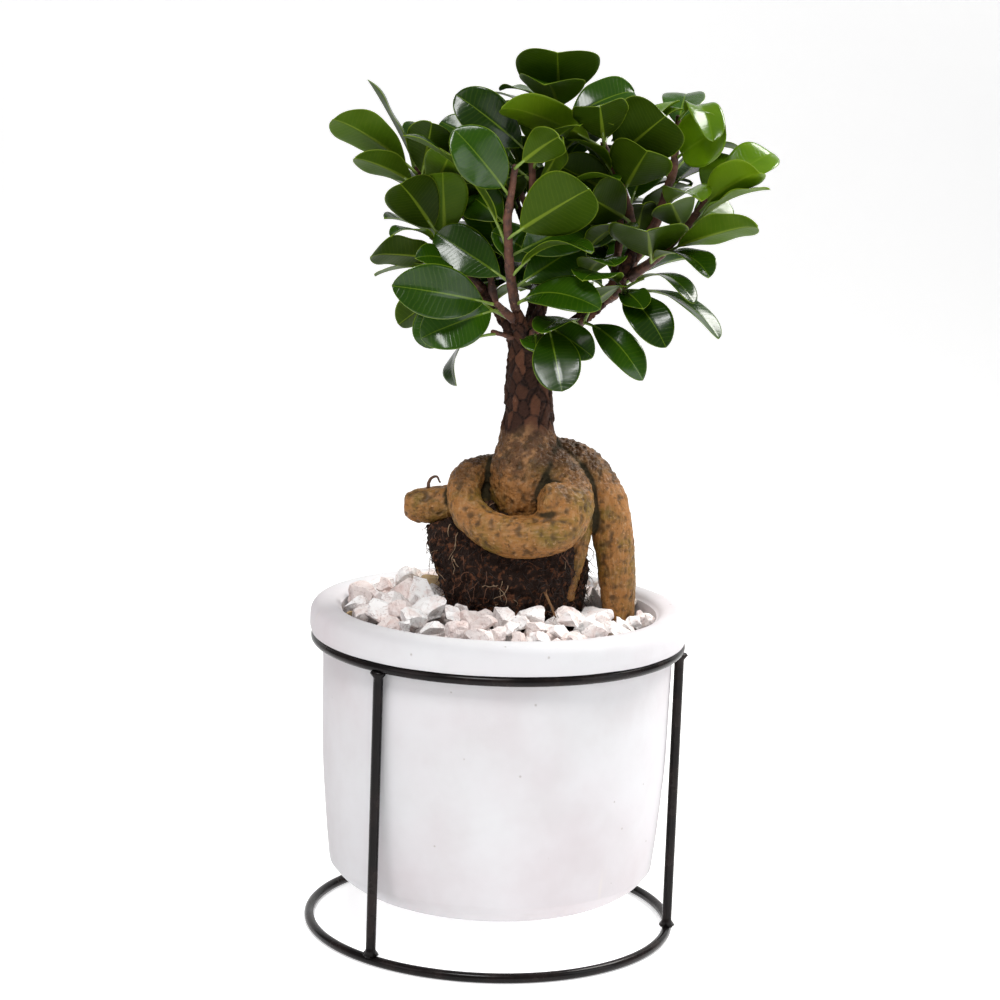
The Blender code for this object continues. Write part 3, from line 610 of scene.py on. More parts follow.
def eased(outline):
    """The outline as a smooth curve that keeps its sharp corners."""
    sharp = [True]
    for a, b, c in zip(outline, outline[1:], outline[2:]):
        sharp.append((b - a).angle(c - b) > SHARP_TURN)
    sharp.append(True)
    line = []
    for i in range(len(outline) - 1):
        a, b = outline[i], outline[i + 1]
        before = a if sharp[i] else outline[i - 1]
        after = b if sharp[i + 1] else outline[i + 2]
        steps = max(2, round((b - a).length / OUTLINE_STEP))
        for step in range(steps):
            t = step / steps
            line.append(0.5 * (2 * a + (b - before) * t + (2 * before - 5 * a + 4 * b - after) * t * t
                               + (3 * a - before - 3 * b + after) * t ** 3))
    line.append(outline[-1])
    return line


pot_outline = eased(read_outline("pot"))
print("pot outline points:", len(pot_outline))

# %% [markdown]
# ### Cement
#
# Dry white cement is matt and chalky, with faint grey and warm clouds, pinholes where air
# bubbles broke, and thin yellowish runs where water dried. The clouds are large, the pinholes
# sparse, and the runs are noise stretched upright.

# %% Cement material


def make_cement():
    made, tree, shader = new_material("white_cement")
    place = object_place(tree)
    cloud = use_group(tree, MOTTLE, {"Place": place, "First": (0.66, 0.665, 0.68),
                                     "Second": (0.59, 0.575, 0.585), "Scale": 16.0,
                                     "Cover": 0.45, "Softness": 0.22})
    tint = use_group(tree, MOTTLE, {"Place": place, "First": (1.0, 1.0, 1.0),
                                    "Second": (0.98, 0.925, 0.94), "Scale": 7.0,
                                    "Cover": 0.5, "Softness": 0.2})
    colour = mixed(tree, 1.0, cloud["Colour"], tint["Colour"], "MULTIPLY")
    runs = clouds(tree, stretched(tree, place, (60.0, 60.0, 5.0)), 1.0, detail=3.0)
    patch = clouds(tree, place, 9.0, detail=1.0)
    run_mask = maths(tree, "MULTIPLY", spread(tree, runs, 0.60, 0.72), spread(tree, patch, 0.5, 0.7))
    colour = mixed(tree, maths(tree, "MULTIPLY", run_mask, 0.45), colour, (0.74, 0.68, 0.56))
    surface = use_group(tree, GRIT, {"Place": place, "Grain": 420.0, "Pits": 210.0,
                                     "Pit depth": 0.0})
    hole = add_node(tree, "TexVoronoi", {"Vector": place, "Scale": 170.0})
    chosen = spread(tree, split(tree, hole.outputs["Color"])[1], 0.90, 0.91)
    pin = maths(tree, "MULTIPLY", chosen, spread(tree, hole.outputs["Distance"], 0.06, 0.13, 1.0, 0.0))
    colour = mixed(tree, maths(tree, "MULTIPLY", pin, 0.55), colour, (0.38, 0.33, 0.31))
    height = maths(tree, "SUBTRACT", surface["Height"], maths(tree, "MULTIPLY", pin, 3.0))
    join(tree, shader, base_color=colour, roughness=0.82, normal=bumped(tree, height, 0.12 * MM, 0.6))
    return made


def build_pot():
    data = turn_profile("cement_pot", list(reversed(pot_outline)), pot_axis, POT_STEPS, closed=False)
    points, outward = coordinates(data), normals(data)
    wave = np.array([noise.noise(Vector(p) / (26 * MM)) * 0.22 + noise.noise(Vector(p) / (6 * MM)) * 0.05
                     for p in points])
    inside = np.hypot(*(points - np.array(pot_axis))[:, :2].T) < 0.5 * (pot_high.x - pot_low.x) - 15 * MM
    move_to(data, points + outward * (wave * ~inside)[:, None] * MM)
    data.set_sharp_from_angle(angle=SHARP_TURN)
    return add_piece("cement_pot", data, ["pot"], [make_cement()])


pot = build_pot()
print("pot points:", len(pot.data.vertices))

# %% [markdown]
# ## The soil
#
# Only crumbs of it show between the stones, so the CAD part's shape is kept and gets dark,
# damp, fibrous colours.

# %% Soil material


def make_soil():
    made, tree, shader = new_material("potting_soil")
    place = object_place(tree)
    crumb = use_group(tree, MOTTLE, {"Place": place, "First": (0.022, 0.014, 0.009),
                                     "Second": (0.075, 0.045, 0.025), "Scale": 320.0,
                                     "Cover": 0.45, "Softness": 0.12})
    surface = use_group(tree, GRIT, {"Place": place, "Grain": 380.0, "Pits": 140.0,
                                     "Pit depth": 0.8})
    join(tree, shader, base_color=crumb["Colour"], roughness=0.95,
         normal=bumped(tree, surface["Height"], 1.2 * MM, 0.9))
    return made


nodes["soil"].data.materials.clear()
nodes["soil"].data.materials.append(make_soil())
print("soil keeps its CAD shape:", len(nodes["soil"].data.polygons), "faces")

# %% [markdown]
# ## The stones
#
# A layer or two of crushed marble, 10 to 20 mm across, sharp-edged and chalky. The CAD part
# is only a lumpy bed, so single stones are heaped over its floor. Each is first a ball that
# is dropped at the lowest free spot among the balls already lying there, which packs them as
# a real heap does. Then the ball is exchanged for an angular chip, cut from a rough lump by
# random planes, with its edges a little worn.

# %% Heap the stones
STONE_LEAST, STONE_MOST = 5.2 * MM, 10.0 * MM      # radius of the ball round a stone
STONE_TRIES = 30
STONES_MOST = 640
STONE_SINK = 0.80           # how much of its ball's radius a chip takes up when it lies down
STONE_RISE = 4.5 * MM       # how far a stone's top may stand above the bed
HEAP_MISSES = 240           # how many stones may find no room before the heap is full
HEAP_SHRINK = 0.35          # the last stones, which fill the gaps, are smaller by this share

gravel_low, gravel_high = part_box("gravel")
soil_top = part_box("soil")[1].z


def tree_of(node):
    work = welded_copy(node)
    tree = BVHTree.FromBMesh(work)
    work.free()
    return tree


def inside(tree, place):
    """Whether a place is within a closed surface."""
    nearest, normal, _, _ = tree.find_nearest(place)
    return (place - nearest).dot(normal) < 0


def heap_stones():
    """Places (x, y, z, radius) of the stones, from the bottom of the heap up."""
    dice = random.Random(6)
    opening = (gravel_high.x - gravel_low.x) / 2
    bed = tree_of("gravel")
    blocked = [tree_of("trunk"), tree_of("root_mass")]
    heap = []
    misses = 0
    while len(heap) < STONES_MOST and misses < HEAP_MISSES:
        radius = dice.uniform(STONE_LEAST, STONE_MOST) * (1.0 - HEAP_SHRINK * misses / HEAP_MISSES)
        best = None
        for _ in range(STONE_TRIES):
            angle = dice.uniform(0, 2 * math.pi)
            out = (opening - radius * 0.92) * math.sqrt(dice.random())
            x, y = pot_axis.x + out * math.cos(angle), pot_axis.y + out * math.sin(angle)
            z = soil_top + radius * STONE_SINK
            for px, py, pz, pr in heap:
                reach = (radius + pr) * STONE_SINK
                flat = math.hypot(x - px, y - py)
                if flat < reach:
                    z = max(z, pz + math.sqrt(reach * reach - flat * flat))
            if best is None or z < best.z:
                place = Vector((x, y, z))
                near = min((tree.find_nearest(place)[3] for tree in blocked))
                if near > radius * 0.72 and not any(inside(tree, place) for tree in blocked):
                    best = place
        if best is None:
            misses += 1
            continue
        top = bed.ray_cast(Vector((best.x, best.y, 1.0)), Vector((0, 0, -1)))[0]
        if top is None or best.z + radius * 0.45 > top.z + STONE_RISE:
            misses += 1
            continue
        heap.append((best.x, best.y, best.z, radius))
    return heap


heap = heap_stones()
print("stones:", len(heap))

# %% Cut the chips


def chip_shape(dice, radius):
    """A crushed stone: a rough lump cut by planes, as a small bmesh about the origin."""
    lump = bmesh.new()
    bmesh.ops.create_icosphere(lump, subdivisions=2, radius=radius * 1.25)
    squash = Vector((dice.uniform(0.85, 1.2), dice.uniform(0.7, 0.95), dice.uniform(0.55, 0.85)))
    for vert in lump.verts:
        vert.co = Vector(a * b for a, b in zip(vert.co, squash))
    for _ in range(dice.randint(7, 10)):
        way = Vector((dice.gauss(0, 1), dice.gauss(0, 1), dice.gauss(0, 1))).normalized()
        reach = max(abs(a * b) for a, b in zip(way, squash)) * radius * dice.uniform(0.62, 0.92)
        cut = bmesh.ops.bisect_plane(lump, geom=lump.verts[:] + lump.edges[:] + lump.faces[:],
                                     plane_co=way * reach, plane_no=way, clear_outer=True)
        rim = [item for item in cut["geom_cut"] if isinstance(item, bmesh.types.BMEdge)]
        if rim:
            bmesh.ops.contextual_create(lump, geom=rim)
    flat = [edge for edge in lump.edges if len(edge.link_faces) == 2 and edge.calc_face_angle() < 0.05]
    bmesh.ops.dissolve_edges(lump, edges=flat, use_verts=True)
    bmesh.ops.bevel(lump, geom=lump.edges[:], offset=radius * 0.055, segments=2, profile=0.6,
                    affect="EDGES", clamp_overlap=True)
    bmesh.ops.triangulate(lump, faces=lump.faces[:])
    bmesh.ops.subdivide_edges(lump, edges=[e for e in lump.edges if e.calc_length() > radius * 0.40],
                              cuts=2, use_grid_fill=True)
    bmesh.ops.triangulate(lump, faces=lump.faces[:])
    return lump


def build_stones():
    dice = random.Random(23)
    points, faces, tints = [], [], []
    for number, (x, y, z, radius) in enumerate(heap):
        lump = chip_shape(dice, radius)
        spin = Matrix.Rotation(dice.uniform(0, 2 * math.pi), 3, "Z")
        tip = Matrix.Rotation(dice.gauss(0, 0.45), 3, "X") @ Matrix.Rotation(dice.gauss(0, 0.45), 3, "Y")
        base = len(points)
        tint = (dice.random(), dice.random(), dice.random())
        for vert in lump.verts:
            rough = noise.noise(vert.co / (3.0 * MM) + Vector((0, 0, number))) * 0.8
            rough += noise.noise(vert.co / (1.1 * MM) + Vector((number, 0, 0))) * 0.35
            place = spin @ (tip @ (vert.co + vert.co.normalized() * rough * MM))
            points.append((x + place.x, y + place.y, z + place.z))
            tints.append(tint)
        lump.verts.index_update()
        faces += [tuple(base + vert.index for vert in face.verts) for face in lump.faces]
        lump.free()
    data = mesh_from("marble_chips", points, faces, smooth=False)
    store(data, "stone_tint", np.array(tints))
    return add_piece("marble_chips", data, ["gravel"], [make_marble()])


# %% [markdown]
# ### Marble
#
# Broken marble is white to pale pink-grey and differs from stone to stone, so each chip
# carries random numbers on its points. One picks its tone, one makes a few stones ochre, and
# noise adds pinkish clouds, soft veins and brown specks on top.

# %% Marble material


def make_marble():
    made, tree, shader = new_material("crushed_marble")
    place = object_place(tree)
    tint = split(tree, attribute(tree, "stone_tint", "Vector"))
    tone = mixed(tree, spread(tree, tint[0], 0.25, 0.95), (0.96, 0.95, 0.94), (0.83, 0.74, 0.71))
    tone = mixed(tree, spread(tree, tint[1], 0.972, 0.98), tone, (0.66, 0.50, 0.27))
    cloud = use_group(tree, MOTTLE, {"Place": place, "First": (1.0, 1.0, 1.0),
                                     "Second": (0.85, 0.74, 0.71), "Scale": 150.0,
                                     "Cover": 0.42, "Softness": 0.16})
    colour = mixed(tree, 1.0, tone, cloud["Colour"], "MULTIPLY")
    vein = clouds(tree, place, 95.0, detail=2.0, distortion=1.4)
    line = maths(tree, "ABSOLUTE", maths(tree, "SUBTRACT", vein, 0.5))
    vein_mask = spread(tree, line, 0.0, 0.022, 0.45, 0.0)
    colour = mixed(tree, vein_mask, colour, (0.42, 0.30, 0.28))
    surface = use_group(tree, GRIT, {"Place": place, "Grain": 650.0, "Pits": 520.0,
                                     "Pit depth": 0.5})
    colour = mixed(tree, maths(tree, "MULTIPLY", surface["Pit mask"], 0.45), colour, (0.40, 0.27, 0.23))
    join(tree, shader, base_color=colour, roughness=0.72,
         normal=bumped(tree, surface["Height"], 0.5 * MM, 0.9))
    return made


stones = build_stones()
print("stone faces:", len(stones.data.polygons))

# %% [markdown]
# ## The rootstock and trunk
#
# Thick roots that grew underground and were lifted into the light, melted into a trunk. Below,
# the skin is thin, tan and olive, dented, and finely streaked along each root. Above, the trunk
# wears dark flaky bark, and the neck between them is rough and knobbly. The CAD skin has coarse
# facets, so it is rounded, remeshed with fine even cells and eased. Then two things are worked
# out on the fine mesh:
#
# * **streaks** that follow each root. Near any point of a round root all normals stand square
#   to its axis, so the axis is the direction in which nearby normals vary least. White noise
#   that is blurred only along that direction becomes streaks, as combed wet paint does.
# * **hollows**: a point that lies under the mean of its neighbours lies in a crease. The
#   material paints shade there, as little light reaches deep into a crease.

# %% Fine skin
SKIN_CELL = 0.75 * MM
BARK_START = pot_high.z + 91 * MM        # where the flaky bark begins
BARK_BLEND = 7 * MM
NECK_START = BARK_START - 34 * MM        # where the skin begins to turn rough
NECK_BLEND = 20 * MM
LIMB_START = pot_high.z + 150 * MM       # where the trunk has parted and its bark is thinner
LIMB_BLEND = 25 * MM
NOISE_SEED = 11             # noise_vector takes a new offset in each session unless it is seeded


def fine_skin(node, cell, ease):
    """A CAD part's skin rounded off, with fine even faces."""
    work = welded_copy(node)
    data = as_mesh(work, node + "_skin")
    return modified(data,
                    ("SUBSURF", {"levels": 2, "render_levels": 2}),
                    ("REMESH", {"mode": "VOXEL", "voxel_size": cell}),
                    ("SMOOTH", {"factor": 0.5, "iterations": ease}))


def root_axes(data, reach):
    """The direction in which the limb runs at each point."""
    points, outward = coordinates(data), normals(data)
    sample = np.arange(0, len(points), 40)
    finder = KDTree(len(sample))
    for index in sample:
        finder.insert(points[index], int(index))
    finder.balance()
    axes = []
    for index in sample:
        near = [found for _, found, _ in finder.find_range(points[index], reach)]
        spread_of_normals = outward[near].T @ outward[near]
        axes.append(np.linalg.eigh(spread_of_normals)[1][:, 0])
    places = KDTree(len(sample))
    for number, index in enumerate(sample):
        places.insert(points[index], number)
    places.balance()
    owner = np.array([places.find(p)[1] for p in points])
    return np.array(axes)[owner]


def combed_noise(data, axes, rounds, seed):
    """Noise blurred along the limbs, from -1 to 1."""
    ends = edge_ends(data)
    points = coordinates(data)
    way = points[ends[:, 1]] - points[ends[:, 0]]
    way /= np.maximum(np.linalg.norm(way, axis=1), 1e-9)[:, None]
    along = np.abs(np.sum(way * (axes[ends[:, 0]]), axis=1)) ** 6 + 0.01
    values = np.random.default_rng(seed).normal(size=len(points))
    for _ in range(rounds):
        values = 0.4 * values + 0.6 * neighbour_mean(values, ends, along)
    values = (values - values.mean()) / values.std()
    return np.clip(values / 2.5, -1, 1)


def hollow_depth(data, rounds):
    """How far each point lies under the mean of the skin round it; less than 0 on a ridge."""
    ends = edge_ends(data)
    points, outward = coordinates(data), normals(data)
    mean = points
    for _ in range(rounds):
        mean = neighbour_mean(mean, ends)
    return np.sum((mean - points) * outward, axis=1)


def noise_at(points, size, offset=0.0):
    """Soft noise from -1 to 1 with lumps of a given size; each offset gives another pattern."""
    shift = Vector((offset, offset * 0.7, -offset))
    return np.array([noise.noise(Vector(p) / size + shift) for p in points])


noise.seed_set(NOISE_SEED)


def plates_at(points, size):
    """Flakes of bark: a random height for each cell, and how near its edge is."""
    height, edge = [], []
    for p in points:
        place = Vector((p[0], p[1], p[2] * 0.62)) / size
        place += noise.noise_vector(place * 0.8) * 0.35
        near, spots = noise.voronoi(place)
        height.append(noise.cell(spots[0] * 7.3))
        edge.append(near[1] - near[0])
    return np.array(height), np.array(edge)


def flaky_relief(points, flake_height, crack):
    """The bark's height in millimetres: flakes at random heights, with cracks between them."""
    relief = (flake_height - 0.5) * 1.1 - crack * 0.9 + 0.8 * noise_at(points, 2.2 * MM)
    relief += 0.5 * noise_at(points, 1.1 * MM, 4)
    limb = np.clip((points[:, 2] - LIMB_START) / LIMB_BLEND, 0, 1)
    return relief * 0.62 * (1 - 0.5 * limb)


def skin_relief(points, streaks, warts, dents, neck):
    """The smooth skin's height in millimetres: lumps, streaks, warts, dents and a rough neck."""
    lumps = 1.1 * noise_at(points, 13 * MM, 2) + 0.55 * noise_at(points, 4.5 * MM, 5)
    fine = noise_at(points, 2.4 * MM, 11) + 0.7 * noise_at(points, 1.2 * MM, 19)
    return 0.55 * lumps + 0.10 * streaks + 0.30 * warts + (0.22 + 0.65 * neck) * fine - 1.1 * dents


def build_rootstock():
    data = fine_skin("trunk", SKIN_CELL, 6)
    points, outward = coordinates(data), normals(data)
    streaks = combed_noise(data, root_axes(data, 7 * MM), 7, seed=3)
    creases = hollow_depth(data, 30)
    barky = np.clip((points[:, 2] - BARK_START) / BARK_BLEND
                    + 0.5 + 0.8 * noise_at(points, 9 * MM), 0, 1)
    flake_height, flake_edge = plates_at(points, 5.2 * MM)
    crack = np.exp(-(flake_edge / 0.10) ** 2)
    neck = np.clip((points[:, 2] - NECK_START) / NECK_BLEND + 0.6 * noise_at(points, 7 * MM, 8), 0, 1)
    dents = np.clip(noise_at(points, 3.4 * MM, 27) - 0.15, 0, 1)
    wart_cells = np.array([noise.voronoi(Vector(p) / (4.2 * MM))[0][0] for p in points])
    warts = np.exp(-(wart_cells / 0.16) ** 2)
    move = (1 - barky) * skin_relief(points, streaks, warts, dents, neck)
    move += barky * flaky_relief(points, flake_height, crack)
    move_to(data, points + outward * (move * MM)[:, None])
    store(data, "streaks", streaks)
    store(data, "crease", np.clip(creases / (1.0 * MM), -1, 1))
    store(data, "barky", barky)
    store(data, "neck", neck)
    store(data, "dents", np.clip(dents * 3.0, 0, 1))
    store(data, "flake", flake_height)
    store(data, "crack", crack)
    store(data, "warts", warts)
    return add_piece("rootstock_and_trunk", data, ["trunk"], [make_bark()])


# %% [markdown]
# ### Skin and bark
#
# One material covers both, because the trunk changes over without a line. The smooth skin
# mixes tan and olive in soft patches, lighter and darker along its streaks, with moss green
# here and there, dark dents and specks, and pale warts. The neck is a mix of dark and tan
# knobs. The bark mixes two dark red-browns flake by flake, with near-black cracks and greyish
# specks. Last, painted shade darkens whatever lies deep in a crease.

# %% Bark material


def make_bark():
    made, tree, shader = new_material("skin_and_bark")
    place = object_place(tree)
    streak = attribute(tree, "streaks")
    crease = attribute(tree, "crease")
    barky = attribute(tree, "barky")
    flake = attribute(tree, "flake")
    crack = attribute(tree, "crack")
    wart = attribute(tree, "warts")
    skin = use_group(tree, MOTTLE, {"Place": place, "First": (0.30, 0.130, 0.034),
                                    "Second": (0.170, 0.105, 0.016), "Scale": 52.0,
                                    "Cover": 0.45, "Softness": 0.12})
    light = spread(tree, streak, -0.1, 0.9)
    colour = mixed(tree, maths(tree, "MULTIPLY", light, 0.32), skin["Colour"], (0.45, 0.26, 0.12))
    dark = spread(tree, streak, -0.9, -0.15, 1.0, 0.0)
    colour = mixed(tree, maths(tree, "MULTIPLY", dark, 0.38), colour, (0.085, 0.045, 0.015))
    grain = use_group(tree, MOTTLE, {"Place": place, "First": (0, 0, 0), "Second": (1, 1, 1),
                                     "Scale": 190.0, "Cover": 0.40, "Softness": 0.07})
    colour = mixed(tree, maths(tree, "MULTIPLY", grain["Mask"], 0.42), colour, (0.10, 0.055, 0.020))
    moss = use_group(tree, MOTTLE, {"Place": place, "First": (0, 0, 0), "Second": (1, 1, 1),
                                    "Scale": 95.0, "Cover": 0.30, "Softness": 0.10})
    colour = mixed(tree, maths(tree, "MULTIPLY", moss["Mask"], 0.45), colour, (0.085, 0.105, 0.014))
    colour = mixed(tree, maths(tree, "MULTIPLY", wart, 0.5), colour, (0.46, 0.31, 0.17))
    speck = use_group(tree, MOTTLE, {"Place": place, "First": (0, 0, 0), "Second": (1, 1, 1),
                                     "Scale": 420.0, "Cover": 0.40, "Softness": 0.06})
    colour = mixed(tree, maths(tree, "MULTIPLY", speck["Mask"], 0.6), colour, (0.070, 0.036, 0.013))
    pale = use_group(tree, MOTTLE, {"Place": place, "First": (0, 0, 0), "Second": (1, 1, 1),
                                    "Scale": 560.0, "Cover": 0.34, "Softness": 0.04})
    colour = mixed(tree, maths(tree, "MULTIPLY", pale["Mask"], 0.45), colour, (0.52, 0.32, 0.17))
    rough_bark = mixed(tree, flake, (0.030, 0.011, 0.006), (0.090, 0.034, 0.017))
    grey = use_group(tree, MOTTLE, {"Place": place, "First": (0, 0, 0), "Second": (1, 1, 1),
                                    "Scale": 260.0, "Cover": 0.33, "Softness": 0.08})
    rough_bark = mixed(tree, maths(tree, "MULTIPLY", grey["Mask"], 0.40), rough_bark, (0.20, 0.10, 0.062))
    rough_bark = mixed(tree, maths(tree, "MULTIPLY", crack, 0.85), rough_bark, (0.010, 0.005, 0.004))
    neck = attribute(tree, "neck")
    knobs = use_group(tree, MOTTLE, {"Place": place, "First": (0.045, 0.020, 0.010),
                                     "Second": (0.24, 0.125, 0.055), "Scale": 170.0,
                                     "Cover": 0.42, "Softness": 0.08})
    colour = mixed(tree, maths(tree, "MULTIPLY", neck, 0.80), colour, knobs["Colour"])
    colour = mixed(tree, maths(tree, "MULTIPLY", attribute(tree, "dents"), 0.75), colour,
                   (0.055, 0.030, 0.010))
    colour = mixed(tree, barky, colour, rough_bark)
    # painted shade: whatever lies deep in a crease is darkened to near black
    shade = spread(tree, crease, 0.03, 0.42)
    colour = mixed(tree, maths(tree, "MULTIPLY", shade, 0.92), colour, (0.014, 0.012, 0.004))
    surface = use_group(tree, GRIT, {"Place": place, "Grain": 620.0, "Pits": 330.0,
                                     "Pit depth": 0.6})
    matt = maths(tree, "MAXIMUM", barky, shade)
    roughness = mixed(tree, matt, (0.44, 0.44, 0.44), (0.88, 0.88, 0.88))
    shader.inputs["Specular IOR Level"].default_value = 0.25
    join(tree, shader, base_color=colour, roughness=roughness,
         normal=bumped(tree, surface["Height"], 0.60 * MM, 0.85))
    return made


rootstock = build_rootstock()
print("rootstock points:", len(rootstock.data.vertices))

# %% [markdown]
# ## The mat of fine roots
#
# Under the rootstock hangs a dark felt of hair roots that held the soil when the plant was
# lifted. The CAD lump gives its outline. It is remeshed and roughened at three sizes, and
# then hundreds of hair roots are laid on it: each starts on the skin, leaves it at a slant and
# falls back under gravity. Most are nearly black, some rust-brown, and a few pale. One thicker
# root arches over in the air, on top of the short cut root.

# %% Root mat
HAIRS = 1500
HAIR_STEPS = 7


def build_root_mat():
    data = fine_skin("root_mass", 0.9 * MM, 4)
    points, outward = coordinates(data), normals(data)
    ends = edge_ends(data)
    fibre = np.random.default_rng(9).normal(size=len(points))
    for _ in range(2):
        fibre = 0.5 * fibre + 0.5 * neighbour_mean(fibre, ends)
    slim = np.clip(tube_thinness(points, outward), 0, 1)
    rough = 1.7 * noise_at(points, 8 * MM) + 1.1 * noise_at(points, 3 * MM, 3) + 0.8 * fibre
    move_to(data, points + outward * (rough * (1 - 0.85 * slim) * MM)[:, None])
    store(data, "slim", slim)
    return add_piece("root_mat", data, ["root_mass"], [make_root_mat()])


def tube_thinness(points, outward):
    """1 on thin single roots and 0 on the mat, from how close the far side of the skin is."""
    finder = KDTree(len(points))
    for index, point in enumerate(points):
        finder.insert(point, index)
    finder.balance()
    step = 3.2 * MM
    result = []
    for point, normal in zip(points, outward):
        _, index, _ = finder.find(point - normal * step)
        facing = -float(np.dot(outward[index], normal))
        result.append(1.0 if facing > 0.3 else 0.0)
    return np.array(result)


def make_root_mat():
    made, tree, shader = new_material("root_felt")
    place = object_place(tree)
    slim = attribute(tree, "slim")
    felt = use_group(tree, MOTTLE, {"Place": place, "First": (0.016, 0.007, 0.004),
                                    "Second": (0.115, 0.044, 0.020), "Scale": 380.0,
                                    "Cover": 0.42, "Softness": 0.07})
    damp = use_group(tree, MOTTLE, {"Place": place, "First": (0, 0, 0), "Second": (1, 1, 1),
                                    "Scale": 60.0, "Cover": 0.22, "Softness": 0.10})
    colour = mixed(tree, maths(tree, "MULTIPLY", damp["Mask"], 0.5), felt["Colour"], (0.11, 0.075, 0.024))
    flecks = use_group(tree, MOTTLE, {"Place": place, "First": (0, 0, 0), "Second": (1, 1, 1),
                                      "Scale": 640.0, "Cover": 0.27, "Softness": 0.03})
    colour = mixed(tree, maths(tree, "MULTIPLY", flecks["Mask"], 0.6), colour, (0.34, 0.20, 0.12))
    colour = mixed(tree, slim, colour, (0.19, 0.10, 0.045))
    surface = use_group(tree, GRIT, {"Place": place, "Grain": 900.0, "Pits": 420.0,
                                     "Pit depth": 1.0})
    shader.inputs["Specular IOR Level"].default_value = 0.2
    join(tree, shader, base_color=colour, roughness=0.78,
         normal=bumped(tree, surface["Height"], 1.0 * MM, 0.9))
    return made


def make_hair_material(name, colour):
    made, tree, shader = new_material(name)
    place = object_place(tree)
    shade = use_group(tree, MOTTLE, {"Place": place, "First": colour,
                                     "Second": tuple(0.45 * c for c in colour), "Scale": 300.0,
                                     "Cover": 0.45, "Softness": 0.15})
    join(tree, shader, base_color=shade["Colour"], roughness=0.62)
    return made


def tubes(routes, sides):
    """Thin tubes along routes of (place, radius), as one mesh, with each tube's number."""
    points, faces, owner = [], [], []
    for number, route in enumerate(routes):
        base = len(points)
        across = (route[1][0] - route[0][0]).orthogonal().normalized()
        for i, (place, radius) in enumerate(route):
            ahead = route[min(i + 1, len(route) - 1)][0] - route[max(i - 1, 0)][0]
            ahead = ahead.normalized() if ahead.length > 1e-9 else Vector((0, 0, 1))
            across = (across - ahead * across.dot(ahead)).normalized()
            other = ahead.cross(across)
            for side in range(sides):
                angle = 2 * math.pi * side / sides
                points.append(place + (across * math.cos(angle) + other * math.sin(angle)) * radius)
                owner.append(number)
        for i in range(len(route) - 1):
            for side in range(sides):
                a, b = base + i * sides + side, base + i * sides + (side + 1) % sides
                faces.append((a, b, b + sides, a + sides))
        faces.append(tuple(base + side for side in reversed(range(sides))))
        last = base + (len(route) - 1) * sides
        faces.append(tuple(last + side for side in range(sides)))
    return points, faces, owner


def hair_route(dice, start, normal, reach, radius, surface):
    """A hair root that leaves the mat at a slant, wanders and settles back against it."""
    side = Vector((dice.gauss(0, 1), dice.gauss(0, 1), dice.gauss(0, 0.8) - 0.5))
    way = (side - normal * side.dot(normal)).normalized() + normal * dice.uniform(0.05, 0.55)
    place, route = start - normal * 0.4 * MM, []
    for step in range(HAIR_STEPS):
        route.append((place.copy(), radius * (1.0 - 0.55 * step / (HAIR_STEPS - 1))))
        way = (way + Vector((dice.gauss(0, 0.35), dice.gauss(0, 0.35), dice.gauss(0, 0.35) - 0.16)))
        way.normalize()
        place = place + way * reach / HAIR_STEPS
        nearest, out, _, _ = surface.find_nearest(place)
        if (place - nearest).dot(out) < radius:
            place = nearest + out * radius
    return route


def build_hairs():
    dice = random.Random(17)
    surface = BVHTree.FromPolygons([v.co for v in root_mat.data.vertices],
                                   [tuple(p.vertices) for p in root_mat.data.polygons])
    polygons = root_mat.data.polygons
    routes, kinds = [], []
    while len(routes) < HAIRS:
        face = polygons[dice.randrange(len(polygons))]
        if face.center.z < gravel_low.z + 4 * MM:
            continue
        kind = 0 if dice.random() < 0.72 else (1 if dice.random() < 0.8 else 2)
        radius = (0.14, 0.22, 0.27)[kind] * MM * dice.uniform(0.7, 1.5)
        reach = dice.uniform(3.5, 11.0) * MM * (1.0, 1.3, 1.5)[kind]
        routes.append(hair_route(dice, face.center.copy(), face.normal.copy(), reach, radius, surface))
        kinds.append(kind)
    points, faces, owner = tubes(routes, 4)
    data = mesh_from("hair_roots", points, faces)
    stuff = [make_hair_material("dark_hairs", (0.022, 0.012, 0.008)),
             make_hair_material("rust_hairs", (0.13, 0.048, 0.020)),
             make_hair_material("pale_hairs", (0.33, 0.22, 0.13))]
    piece = add_piece("hair_roots", data, [], stuff)
    for face in data.polygons:
        face.material_index = kinds[owner[face.vertices[0]]]
    return piece


def build_aerial_root():
    """A thin brown root that springs from the top of the short cut root and arches over."""
    above = Vector((pot_axis.x - 39 * MM, pot_axis.y - 2 * MM, BARK_START - 28 * MM))
    start = tree_of("trunk").find_nearest(above)[0]
    route = []
    for step in range(15):
        turn = 2.6 * step / 14
        place = start + Vector((3.4 * (1 - math.cos(turn)), -0.8 * turn, 6.5 * math.sin(turn) - 0.8)) * MM
        wander = noise.noise_vector(place / (2.5 * MM)) * 0.5 * MM
        route.append((place + wander, (0.95 - 0.035 * step) * MM))
    points, faces, _ = tubes([route], 10)
    stuff = [make_hair_material("aerial_root", (0.115, 0.050, 0.026))]
    return add_piece("aerial_root", mesh_from("aerial_root", points, faces), [], stuff)


root_mat = build_root_mat()
hairs = build_hairs()
aerial_root = build_aerial_root()
print("root mat points:", len(root_mat.data.vertices), " hair root faces:", len(hairs.data.polygons),
      " aerial root faces:", len(aerial_root.data.polygons))

# %% [markdown]
# ## Reading the leaves
#
# A CAD leaf is a chain of four-cornered rings that ends in one point, its tip: left margin,
# rib on top, right margin, rib underneath. So a tip is a point with four neighbours that form
# a ring, with two more such rings behind it. Three rings and the tip are enough to know the
# leaf: its length and width, which way its upper face looks, and the curve of its midrib,
# which is a quadratic through the rings' middles.

# %% Find and read the leaves
RING_SHARES = (0.864, 0.643, 0.388)      # where the rings lie on the leaf, from its root
BLADE_START = 0.15                       # the stalk's share of a leaf


